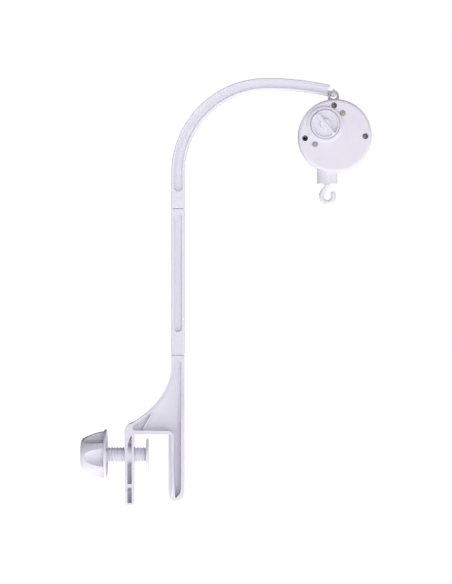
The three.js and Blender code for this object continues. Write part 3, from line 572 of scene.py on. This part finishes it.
# %% Arm end and peg
PEG = (252.3, 471.3)
hollow = [(248.4, 486.5), (248.2, 484)]
hollow += bend((248.2, 484), (241.4, 478.4), (244, 468)) + [(270, 468), (270, 486.5)]
less(arm, slab("end_cutter", hollow, -POST_HALF - 1, POST_HALF + 1))
finger = [(236, 473), (246, 469.4), (252.5, 468.9)]
finger += bend((252.5, 468.9), (256.4, 470.5), (255.9, 473.4))
finger += [(253.4, 480.6), (249.4, 476.6), (236, 482)]
peg = spun("peg", [(0, -4), (2.4, -4), (3.1, -3.8), (3.5, -3.3), (3.5, -2.8), (3, -2.2),
                   (3, 3), (0, 3)], "Y", (PEG[0], 0, PEG[1]), 32)
joined(arm, slab("finger", finger, 2.3, 5.6), peg)
arm = softened(arm, 0.4)
finished(arm, "clamp", "white_plastic", "curved_arm")

# %% [markdown]
# ## The clamp bracket
# A flange runs all the way round and a thin web fills it, so both faces are hollow. Seen from
# the side the bracket is deep at the jaws and narrows up to the post. The outline is drawn once
# and extruded to the full depth, then everything outside the side view is cut away.

# %% Bracket body
RIM, WEB_HALF, JAW_HALF, STEM_HALF = 4.0, 1.5, 16.0, 8.0
STEM_LEFT, STEM_RIGHT, STEM_TOP = 26.7, 45.3, 109.0
LEG_LEFT, LEG_RIGHT, LEG_BOTTOM = -37.8, -24.3, -98.0
JAW_LEFT, JAW_RIGHT, JAW_BOTTOM = 24.7, 45.3, -92.0
SCREW_Z = -28.9
GUSSET = ((STEM_LEFT, 96), (STEM_LEFT, 62), (4, 35), (-27, 15.5))


def gusset_line(steps, inset=0.0):
    """The gusset's sweep from the stem down to the screw leg, moved inwards by the inset."""
    points = bend(*GUSSET, steps=steps, both_ends=True)
    line = []
    for i, (x, z) in enumerate(points):
        before, after = points[max(i - 1, 0)], points[min(i + 1, steps)]
        along = (Vector(after) - Vector(before)).normalized()
        line.append((x - along.y * inset, z + along.x * inset))
    return line


outline = [(STEM_LEFT, STEM_TOP)] + gusset_line(28)
outline += bend(outline[-1], (LEG_LEFT, 13), (LEG_LEFT, 4), steps=10)
outline += [(LEG_LEFT + 1.2, LEG_BOTTOM), (LEG_RIGHT, LEG_BOTTOM), (LEG_RIGHT, 0), (JAW_LEFT, 0)]
outline += [(JAW_LEFT + 2.5, -4), (JAW_LEFT + 2.5, JAW_BOTTOM + 2)]
outline += bend(outline[-1], (JAW_LEFT + 4, JAW_BOTTOM), (JAW_LEFT + 7, JAW_BOTTOM), steps=6)
outline += bend(outline[-1], (JAW_RIGHT, JAW_BOTTOM), (JAW_RIGHT, JAW_BOTTOM + 14), steps=10)
outline.append((STEM_RIGHT, STEM_TOP))
bracket = slab("clamp_bracket_body", outline, -JAW_HALF, JAW_HALF)

side = [(-JAW_HALF, LEG_BOTTOM - 2), (JAW_HALF, LEG_BOTTOM - 2), (JAW_HALF, 4)]
side += bend((JAW_HALF, 4), (JAW_HALF, 40), (STEM_HALF, 50), (STEM_HALF, 92), steps=24)
side.append((STEM_HALF, STEM_TOP + 2))
side += [(-y, z) for y, z in side[:1:-1]]
side_view = slab("side_view", side, LEG_LEFT - 1, STEM_RIGHT + 1, "YZ")
combine(bracket, "INTERSECT", [side_view])
bracket = softened(bracket, 2.2, segments=4)
print("bracket corners:", len(bracket.data.vertices))

# %% [markdown]
# The hollow is one pocket on each face that takes in the gusset, the stem and the fixed jaw,
# with a round top under the post. The screw leg has its own pocket. A diagonal rib, a cross rib
# and the boss for the screw are added back, and the boss is bored through.

# %% Bracket pockets, ribs and boss
POCKET_RIGHT = STEM_RIGHT - 4.6
POCKET_MIDDLE = (STEM_LEFT + STEM_RIGHT) / 2 + 0.4
pocket = arc((POCKET_MIDDLE, 98), POCKET_RIGHT - POCKET_MIDDLE, 0, 180, 24)
pocket += gusset_line(28, RIM)
pocket += bend(pocket[-1], (-28.5, 9), (-24, 5.5), steps=6) + [(24.5, 5)]
pocket += bend((24.5, 5), (30.5, 3), (30.5, -5), steps=10)
pocket += [(30.5, -60), (32.7, JAW_BOTTOM + 4)]
pocket += bend(pocket[-1], (POCKET_RIGHT, JAW_BOTTOM + 9), (POCKET_RIGHT, JAW_BOTTOM + 18), steps=8)
leg_inside = (LEG_LEFT + 4.4, LEG_RIGHT - 3.3)
leg_pocket = [(leg_inside[1], -1.5)]
leg_pocket += bend(leg_pocket[0], (leg_inside[0] + 1, -6), (leg_inside[0], -20), steps=12)
leg_pocket += [(leg_inside[0], LEG_BOTTOM + 3.2), (leg_inside[1], LEG_BOTTOM + 3.2)]
for near, far in ((-JAW_HALF - 1, -WEB_HALF), (WEB_HALF, JAW_HALF + 1)):
    less(bracket, slab("pocket_cutter", pocket, near, far),
         slab("leg_pocket_cutter", leg_pocket, near, far))
boss_middle = (0, 0, SCREW_Z)
joined(
    bracket,
    slab("diagonal_rib", [(-15.2, 3), (-13.4, 3), (0.4, 25.5), (-1.2, 26.5)], -11, 11),
    block("cross_rib", (LEG_LEFT + 1, LEG_RIGHT - 1), (-15.6, 15.6), (-73.5, -68.5)),
    rod("boss", "X", 14, LEG_LEFT + 0.1, LEG_RIGHT - 0.1, boss_middle, 64),
    block("jaw_foot", (23.7, 28.5), (-6, 6), (-80, -2)),
    tongue("bracket_tongue", STEM_TOP - 3, STEM_TOP + TONGUE["length"]),
)
less(bracket, rod("bore", "X", 10.8, LEG_LEFT - 2, LEG_RIGHT + 2, boss_middle, 64))
bracket = softened(bracket, 0.45)
print("bracket has its pockets:", len(bracket.data.polygons), "faces")

# %% [markdown]
# The fixed jaw's face is a crowned paddle. It starts as a subdivided block, whose vertices are
# moved to the paddle's outline, then bowed across with its foot turned away from the rail.

# %% Jaw face
PADDLE = {"apex": 22.6, "curve": 38.0, "wall": 2.4, "top": -2.0, "bottom": -96.0}


def paddle_place(point):
    down = 0.5 - point.z
    shoulders = 11.5 + 9 * math.sin(min(down / 0.68, 1) * math.pi / 2)
    foot = math.sqrt(max(0.0, 1 - max(0.0, (down - 0.74) / 0.262) ** 2))
    y = point.y * 2 * shoulders * foot
    crown = PADDLE["curve"] - math.sqrt(PADDLE["curve"] ** 2 - y * y)
    flare = 4 * max(0.0, (down - 0.8) / 0.2) ** 2
    inner = PADDLE["wall"] if point.x > 0 else 0.0
    z = PADDLE["top"] - down * (PADDLE["top"] - PADDLE["bottom"])
    return Vector((PADDLE["apex"] + crown + flare + inner, y, z)) * MM


bpy.ops.object.select_all(action="DESELECT")
bpy.ops.mesh.primitive_cube_add(size=1, location=(0, 0, 0))
paddle = bpy.context.object
paddle.name = "jaw_paddle"
edit(paddle)
bpy.ops.mesh.subdivide(number_cuts=31)
leave()
for vertex in paddle.data.vertices:
    vertex.co = paddle_place(vertex.co)
edit(paddle)
bpy.ops.mesh.remove_doubles(threshold=0.01 * MM)
bpy.ops.mesh.normals_make_consistent(inside=False)
leave()
paddle = softened(paddle, 0.6, segments=3)
joined(bracket, paddle)
bracket = smooth(bracket)
finished(bracket, "clamp", "white_plastic", "clamp_bracket")

# %% [markdown]
# ## Knob, screw and pressure disc
# The knob is a hollow cup with a flange at its wide end. Six round grooves run along it for the
# fingers. Because the cup is a cone, a groove that runs parallel to the screw fades out towards
# the narrow end by itself.

# %% Knob
KNOB_END, KNOB_BACK = -99.5, -62.5
FLANGE_FACE = -66.2
GROOVE = {"count": 6, "radius": 15.1, "distance": 38.6, "offset": 0.075}
KNOB_MIDDLE = (0, 0, SCREW_Z)


def groove_cutters(extra):
    cutters = []
    apart = 360 / GROOVE["count"]
    for i in range(GROOVE["count"]):
        turn = math.radians((i + GROOVE["offset"]) * apart)
        across, up = (GROOVE["distance"] * side for side in (math.cos(turn), math.sin(turn)))
        middle = (0, across, SCREW_Z + up)
        start, end = KNOB_END - 5, FLANGE_FACE + extra
        cutters.append(rod("groove", "X", GROOVE["radius"] + extra, start, end, middle, 72))
    return cutters


skin = [(0, KNOB_END), (8, -99.45), (14, -99.15), (18, -98.6), (20.6, -97.6), (22.2, -96.4)]
skin += [(23.1, -94.9), (26.2, -88.5), (29.4, -80.5), (31.6, -73), (32.6, FLANGE_FACE), (0, FLANGE_FACE)]
knob = spun("clamp_knob", skin, "X", KNOB_MIDDLE, 96)
less(knob, *groove_cutters(0))
knob = softened(knob, 0.9, segments=4, angle=24)
flange = [(0, FLANGE_FACE), (34.2, FLANGE_FACE), (34.8, -65.9), (35, -65.4), (35, -63.3), (34.8, -62.8)]
flange += [(34.2, KNOB_BACK), (0, KNOB_BACK)]
joined(knob, spun("flange", flange, "X", KNOB_MIDDLE, 96))
inside = [(0, -96.6), (18, -95.8), (20.4, -94.2), (23.6, -87.5), (26.8, -79.5), (29, -72)]
inside += [(29.8, KNOB_BACK + 1), (0, KNOB_BACK + 1)]
hollow = spun("knob_hollow", inside, "X", KNOB_MIDDLE, 96)
less(hollow, *groove_cutters(2.6))
less(knob, hollow)
joined(knob, rod("hub", "X", 12.6, -97, KNOB_BACK - 1, KNOB_MIDDLE, 48))
less(knob, rod("socket", "X", 9.5, -93.3, 0, KNOB_MIDDLE, 6))
knob = softened(knob, 0.35)
finished(knob, "clamp_screw", "white_plastic", "clamp_knob")

# %% [markdown]
# The screw is moulded too. Its thread is one small section drawn beside the core and carried
# round by the Screw modifier, 4 mm further along with each turn. The ends of the ridge are
# filled, and the core runs through it.

# %% Screw
CORE, CREST, PITCH = 9.2, 10.5, 4.0
THREAD_START, THREAD_END = -59.5, -9.8
turns = (THREAD_END - THREAD_START) / PITCH
section = [(CORE - 1, -1.44), (CREST - 0.15, -0.62), (CREST, -0.45), (CREST, 0.45)]
section += [(CREST - 0.15, 0.62), (CORE - 1, 1.44), (CORE - 1, -1.44)]
ridge = drawn_line("thread", [(along, 0, radius) for radius, along in section])
bpy.ops.mesh.select_all(action="SELECT")
bpy.ops.mesh.remove_doubles(threshold=0.01 * MM)
leave()
fresh_modifier(ridge, "SCREW", {"axis": "X", "angle": 2 * math.pi * turns, "steps": 480,
                                "screw_offset": PITCH * turns * MM, "use_merge_vertices": False})
edit(ridge, "DESELECT")
bpy.ops.mesh.select_non_manifold(extend=False)
bpy.ops.mesh.fill_holes(sides=0)
bpy.ops.mesh.select_all(action="SELECT")
bpy.ops.transform.translate(value=Vector((THREAD_START, 0, SCREW_Z)) * MM)
bpy.ops.mesh.normals_make_consistent(inside=False)
leave()
core = [(0, -61.5), (CORE, -61.5), (CORE, -8.9), (CORE - 0.6, -8.3), (0, -8.3)]
spindle = spun("clamp_spindle", core, "X", KNOB_MIDDLE, 64)
joined(spindle, rod("key", "X", CORE, -93, -61, KNOB_MIDDLE, 6), ridge)
less(spindle, rod("pilot", "X", 1.9, -24, 0, KNOB_MIDDLE, 24))
spindle = smooth(spindle)
finished(spindle, "clamp_screw", "white_plastic", "clamp_spindle")

# %% [markdown]
# A disc on the screw's end spreads the load on the rail. A small cross-headed screw holds it,
# sunk just below its face. The same head is used for every screw on the toy, so one helper
# turns the head and shank and cuts the cross.

# %% Disc and screws
disc = [(1.9, -7.9), (21.5, -7.9), (22.2, -7.6), (22.5, -6.9), (22.5, -5.2), (22.2, -4.5)]
disc += [(21.5, -4.2), (5.2, -4.2), (4.2, -4.3), (1.9, -6.5), (1.9, -7.9)]
pressure_disc = smooth(spun("pressure_disc", disc, "X", KNOB_MIDDLE, 96))
finished(pressure_disc, "pressure_pad", "white_plastic", "pressure_disc")


def cross_screw(name, profile, axis, middle, top, floor, reach):
    """A turned screw with a cross cut into its head between top and floor."""
    piece = spun(name, profile, axis, middle, 32)
    low, high = sorted((top, floor))
    for wide, tall in ((reach, 0.45), (0.45, reach)):
        x, y, z = (0, 0), (-wide, wide), (-tall, tall)
        if axis == "X":
            blade = block("blade", (low, high), y, (middle[2] - tall, middle[2] + tall))
        else:
            x = (middle[0] - wide, middle[0] + wide)
            blade = block("blade", x, (low, high), (middle[2] - tall, middle[2] + tall))
        less(piece, blade)
    return softened(piece, 0.12)


disc_screw = cross_screw(
    "disc_screw", [(0, -22), (1.2, -22), (1.6, -20.5), (1.6, -6.5), (3.6, -4.5), (0, -4.5)],
    "X", KNOB_MIDDLE, -4, -5.4, 2.6,
)
finished(disc_screw, "clamp_screw", "screw_steel", "disc_retaining_screw")

# %% [markdown]
# ## The music box
# The case is two round shells that meet on a parting line, with a short tube underneath for the
# hook. The outer and inner shapes are turned from profiles, the inner is taken out of the outer,
# and the result is divided at the parting line into a rear and a front half.

# %% Case shells
BOX = {"x": 253.7, "z": 413.3, "radius": 50.6, "wall": 2.2, "rear": -20.0, "front": 22.0}
NECK_X, NECK_RADIUS, NECK_BOTTOM = 243.4, 14.0, 347.5
BOX_MIDDLE = (BOX["x"], 0, BOX["z"])


def corner(middle, radius, start, end, steps=6):
    """A rounded corner of a turned profile, as radius and place along the axis."""
    return arc(middle, radius, start, end, steps)


def case_profile(inset):
    radius, rear, front = BOX["radius"] - inset, BOX["rear"] + inset, BOX["front"] - inset
    profile = [(0, rear), (radius - 5, rear)] + corner((radius - 4, rear + 4), 4, -90, 0)
    profile += [(radius, front - 8)]
    profile += bend((radius, front - 8), (radius - 1, front - 1), (radius - 16, front), steps=10)
    return profile + [(0, front)]


def case_shell():
    outside = spun("case", case_profile(0), "Y", BOX_MIDDLE, 128)
    joined(outside, rod("neck", "Z", NECK_RADIUS, NECK_BOTTOM, 372, (NECK_X, 0, 0), 64))
    inside = spun("room", case_profile(BOX["wall"]), "Y", BOX_MIDDLE, 96)
    neck_room = rod("neck_room", "Z", 11.8, NECK_BOTTOM + 2.8, 373, (NECK_X, 0, 0), 48)
    bush_hole = rod("bush_hole", "Z", 5.2, NECK_BOTTOM - 1, NECK_BOTTOM + 4, (NECK_X, 0, 0), 32)
    eyelet_slot = block("eyelet_slot", (PEG[0] - 8, PEG[0] + 8), (-2, 2), (455, 470))
    return less(outside, joined(inside, neck_room), bush_hole, eyelet_slot)


def half_of(shell, name, start, end):
    x = (BOX["x"] - 60, BOX["x"] + 60)
    half = combine(shell, "INTERSECT", [block("side", x, (start, end), (340, 480))])
    half.name = name
    return half


rear_cover = half_of(case_shell(), "rear_cover_shell", -40, -GAP / 2)
front_cover = half_of(case_shell(), "front_cover_shell", GAP / 2, 40)
print("case diameter:", 2 * BOX["radius"], "mm")

# %% [markdown]
# The rear half carries a raised collar round the key, three deep wells for the case screws and
# two shallow ones for the screws that hold the movement. Ribs inside both halves keep the hook's
# shaft in line.

# %% Rear and front covers
KEY = {"x": 239.9, "z": 428.8, "radius": 19.8, "collar": 24.9}
SCREW_CIRCLE, SCREW_TURNS = 41.7, (92, 185, -1)
CASE_SCREWS = [arc((BOX["x"], BOX["z"]), SCREW_CIRCLE, turn, turn, 1)[0] for turn in SCREW_TURNS]
MOVEMENT_SCREWS = [(225.7, 401.2), (263.9, 444.2)]
WELL_SEAT, PLATE_BACK = -5.0, -14.6
KEY_MIDDLE = (KEY["x"], 0, KEY["z"])


def shaft_rib(start, end):
    rib = block("shaft_rib", (NECK_X - 10, NECK_X + 10), (start, end), (384, 387))
    return less(rib, rod("notch", "Z", 2.4, 383, 388, (NECK_X, 0, 0), 24))


rear, key_wall = BOX["rear"], KEY["radius"] + 0.6
collar = [(key_wall, rear + 0.5), (KEY["collar"] + 1.4, rear + 0.5), (KEY["collar"] + 0.5, rear - 0.5)]
collar += corner((KEY["collar"] - 1.8, rear - 1), 1.8, 0, -90)
collar += [(key_wall + 0.8, rear - 2.8), (key_wall, rear - 2), (key_wall, rear + 0.5)]
joined(rear_cover, spun("collar", collar, "Y", KEY_MIDDLE, 96), shaft_rib(rear + 1, -GAP / 2))
joined(rear_cover, *[rod("well", "Y", 5.65, rear + 1, WELL_SEAT + 2, (x, 0, z), 32)
                     for x, z in CASE_SCREWS])
joined(rear_cover, *[rod("boss", "Y", 5, rear + 1, PLATE_BACK - GAP, (x, 0, z), 32)
                     for x, z in MOVEMENT_SCREWS])
for x, z in CASE_SCREWS:
    less(rear_cover, rod("well_cutter", "Y", 4.15, rear - 5, WELL_SEAT, (x, 0, z), 40),
         rod("pilot", "Y", 1.8, WELL_SEAT - 1, WELL_SEAT + 3, (x, 0, z), 16))
for x, z in MOVEMENT_SCREWS:
    less(rear_cover, rod("dish", "Y", 4.3, rear - 1, rear + 0.8, (x, 0, z), 40),
         rod("pilot", "Y", 1.9, rear, 0, (x, 0, z), 16))
less(rear_cover, rod("key_hole", "Y", 3.2, rear - 1, rear + 4, KEY_MIDDLE, 32))
rear_cover = softened(rear_cover, 0.3)
finished(rear_cover, "music_box", "white_plastic", "rear_cover")

joined(front_cover, shaft_rib(GAP / 2, BOX["front"] - 1.6))
joined(front_cover, *[rod("post", "Y", 4, WELL_SEAT + 2 + GAP, BOX["front"] - 1.6, (x, 0, z), 32)
                      for x, z in CASE_SCREWS])
less(front_cover, *[rod("pilot", "Y", 1.8, WELL_SEAT, 10, (x, 0, z), 16) for x, z in CASE_SCREWS])
front_cover = softened(front_cover, 0.3)
finished(front_cover, "music_box", "white_plastic", "front_cover")

# %% [markdown]
# The winding key is a shallow cup with a bar across it, so fingers reach in on both sides. The
# cup and its hub are turned, the bar is a rounded block set at the angle where it came to rest,
# and a square hole takes the spring's arbor.

# %% Winding key
back = rear - 0.5
cup = [(0, back), (19.2, back), (19.7, back - 0.3), (19.8, back - 0.8), (19.8, back - 4.2)]
cup += [(19.6, back - 4.8), (19, back - 5), (18.2, back - 5), (17.6, back - 4.7)]
cup += [(17.2, back - 2.6), (16.6, back - 2.2), (0, back - 2.2)]
key = spun("winding_key_cup", cup, "Y", KEY_MIDDLE, 96)
hub = [(0, back - 1), (7.8, back - 1), (7.2, back - 2.4), (7, back - 6.6), (6.6, back - 7.4)]
hub += [(5.8, back - 7.8), (0, back - 7.8)]
joined(key, spun("hub", hub, "Y", KEY_MIDDLE, 64))
reach = KEY["radius"] - 1.2
grip = block("grip", (-reach, reach), (back - 9, back - 1), (-2.6, 2.6))
grip = softened(grip, 1.2, segments=4)
edit(grip)
bpy.ops.transform.rotate(value=math.radians(-49.5), orient_axis="Y", center_override=(0, 0, 0))
bpy.ops.transform.translate(value=Vector(KEY_MIDDLE) * MM)
leave()
grip_way = max(grip.data.vertices, key=lambda v: v.co.z).co / MM - Vector(KEY_MIDDLE)
print("grip's upper end lies", "left" if grip_way.x < 0 else "right", "of the key's middle")
joined(key, grip)
square = (KEY["x"] - 2.1, KEY["x"] + 2.1), (back - 5, 0), (KEY["z"] - 2.1, KEY["z"] + 2.1)
less(key, block("square", *square))
key = softened(key, 0.3)
finished(key, "key", "white_plastic", "winding_key")

# %% [markdown]
# Five small plated screws show in the case, three in deep wells and two in shallow dishes. All
# have the same cross in the head. The eyelet is a flat tab of natural nylon, which wears better
# on the peg than the white plastic would.

# %% Screws and eyelet


def box_screw(name, place, seat, head, height, end):
    profile = [(0, seat - height), (head - 1.1, seat - height), (head - 0.4, seat - height + 0.3)]
    profile += [(head, seat - height + 0.9), (head, seat), (1.5, seat), (1.5, end), (0, end)]
    middle = (place[0], 0, place[1])
    floor = seat - height * 0.45
    return cross_screw(name, profile, "Y", middle, seat - height - 1, floor, head * 0.62)


for i, place in enumerate(CASE_SCREWS, 1):
    piece = box_screw(f"case_screw_head_{i}", place, WELL_SEAT - GAP, 3.2, 2.2, 8)
    finished(piece, "music_box", "screw_steel", f"case_screw_{i}")
for i, place in enumerate(MOVEMENT_SCREWS, 1):
    piece = box_screw(f"movement_screw_head_{i}", place, rear + 0.8 - GAP, 3.6, 1.6, -11.4)
    finished(piece, "music_box", "screw_steel", f"movement_screw_{i}")

EYE = {"z": 470.1, "outer": 7.6, "hole": 4.5, "half": 1.7, "bottom": 449.5}
left, right = PEG[0] - EYE["outer"], PEG[0] + EYE["outer"]
tab = arc((PEG[0], EYE["z"]), EYE["outer"], 0, 180, 40)
tab += [(left, EYE["bottom"] + 3), (left + 3, EYE["bottom"]), (right - 3, EYE["bottom"])]
tab += [(right, EYE["bottom"] + 3)]
eyelet = slab("hanging_eyelet_tab", tab, -EYE["half"], EYE["half"])
top_screw = (CASE_SCREWS[0][0], 0, CASE_SCREWS[0][1])
less(eyelet, rod("eye", "Y", EYE["hole"], -5, 5, (PEG[0], 0, EYE["z"]), 64),
     rod("clearance", "Y", 4.4, -5, 5, top_screw, 48))
eyelet = softened(eyelet, 0.55, segments=3)
finished(eyelet, "music_box", "natural_plastic", "hanging_eyelet")

# %% [markdown]
# ## The hook
# The hook's eye is one round rod bent through most of a circle. A circle is drawn across the
# neck's axis and swept down and round by a curve, which keeps the section true all the way. Its
# end is rounded with a ball, and the stem above it is turned.

# %% Hook
HOOK = {"x": 243.9, "z": 330.1, "bend": 8.4, "section": 3.5}


def hook_route():
    """Points down the middle of the rod, drawn as a smooth curve through a few marks."""
    x, z, radius = HOOK["x"], HOOK["z"], HOOK["bend"]
    marks = [(NECK_X, NECK_BOTTOM + 2), (NECK_X - 0.1, NECK_BOTTOM - 3.5), (x - 4.2, z + 9.3)]
    for degrees in (150, 180, 215, 250, 270, 305, 340, 383):
        turn = math.radians(degrees)
        marks.append((x + radius * math.cos(turn), z + radius * math.sin(turn)))
    return marks


bpy.ops.object.select_all(action="DESELECT")
bpy.ops.curve.primitive_bezier_curve_add(location=(0, 0, 0))
hook = bpy.context.object
hook.name = "swivel_hook_rod"
marks = hook_route()
hook.data.splines[0].bezier_points.add(len(marks) - 2)
for point, (x, z) in zip(hook.data.splines[0].bezier_points, marks):
    point.co = Vector((x, 0, z)) * MM
    point.handle_left_type = point.handle_right_type = "AUTO"
hook.data.bevel_depth = HOOK["section"] * MM
hook.data.bevel_resolution = 8
hook.data.resolution_u = 6
hook.data.use_fill_caps = True
bpy.ops.object.convert(target="MESH")
bpy.ops.object.transform_apply(location=True, rotation=True, scale=True)
edit(hook)
bpy.ops.mesh.remove_doubles(threshold=0.002 * MM)
bpy.ops.mesh.normals_make_consistent(inside=False)
leave()
end = (marks[-1][0], 0, marks[-1][1])
ball = spun("ball", arc((0, 0), HOOK["section"], -90, 90, 16), "Z", end, 32)
stem = [(0, -1), (3.3, -1), (3.3, 4.9), (6.8, 4.9), (6.8, 7.4), (4, 8.4), (4, 14), (0, 14)]
stem = spun("stem", [(radius, NECK_BOTTOM + z) for radius, z in stem], "Z", (NECK_X, 0, 0), 48)
joined(hook, ball, stem)
seat = block("seat", (HOOK["x"] - 1.5, HOOK["x"] + 1.5), (-4, 4), (HOOK["z"] - 5.3, HOOK["z"] - 3))
less(hook, rod("bore", "Z", 2.1, NECK_BOTTOM + 1, NECK_BOTTOM + 20, (NECK_X, 0, 0), 24), seat)
hook = smooth(hook)
finished(hook, "hook", "white_plastic", "swivel_hook")

# %% [markdown]
# ## Parts that keep the frame's shape
# The movement is sealed inside the case. Its parts keep their measured shapes and get worked
# metal finishes, so that the model is whole when the case is opened.

# %% Finishes inside the case
BRASS_PARTS = ("hook_pinion", "spring_barrel", "barrel_lid", "tone_cylinder", "cylinder_pinion",
               "cylinder_gear", "governor_pinion_arbor", "governor_crown_wheel")
SPRING_PARTS = ("click_spring", "mainspring", "tone_comb")
SCREW_PARTS = ("comb_screw_1", "comb_screw_2")
PLATE_PARTS = ("hook_shaft", "movement_bedplate", "cylinder_bracket_near",
               "cylinder_bracket_far", "spring_arbor", "ratchet_wheel", "cylinder_arbor",
               "comb_base", "governor_fly")
inner_parts = {"brass": BRASS_PARTS, "spring_steel": SPRING_PARTS, "screw_steel": SCREW_PARTS,
               "plate_steel": PLATE_PARTS, "natural_plastic": ("hook_bush",)}
for slot, names in inner_parts.items():
    for name in names:
        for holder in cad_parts[name].material_slots:
            holder.material = finishes[slot]
print("inner parts with a finish:", sum(len(names) for names in inner_parts.values()))
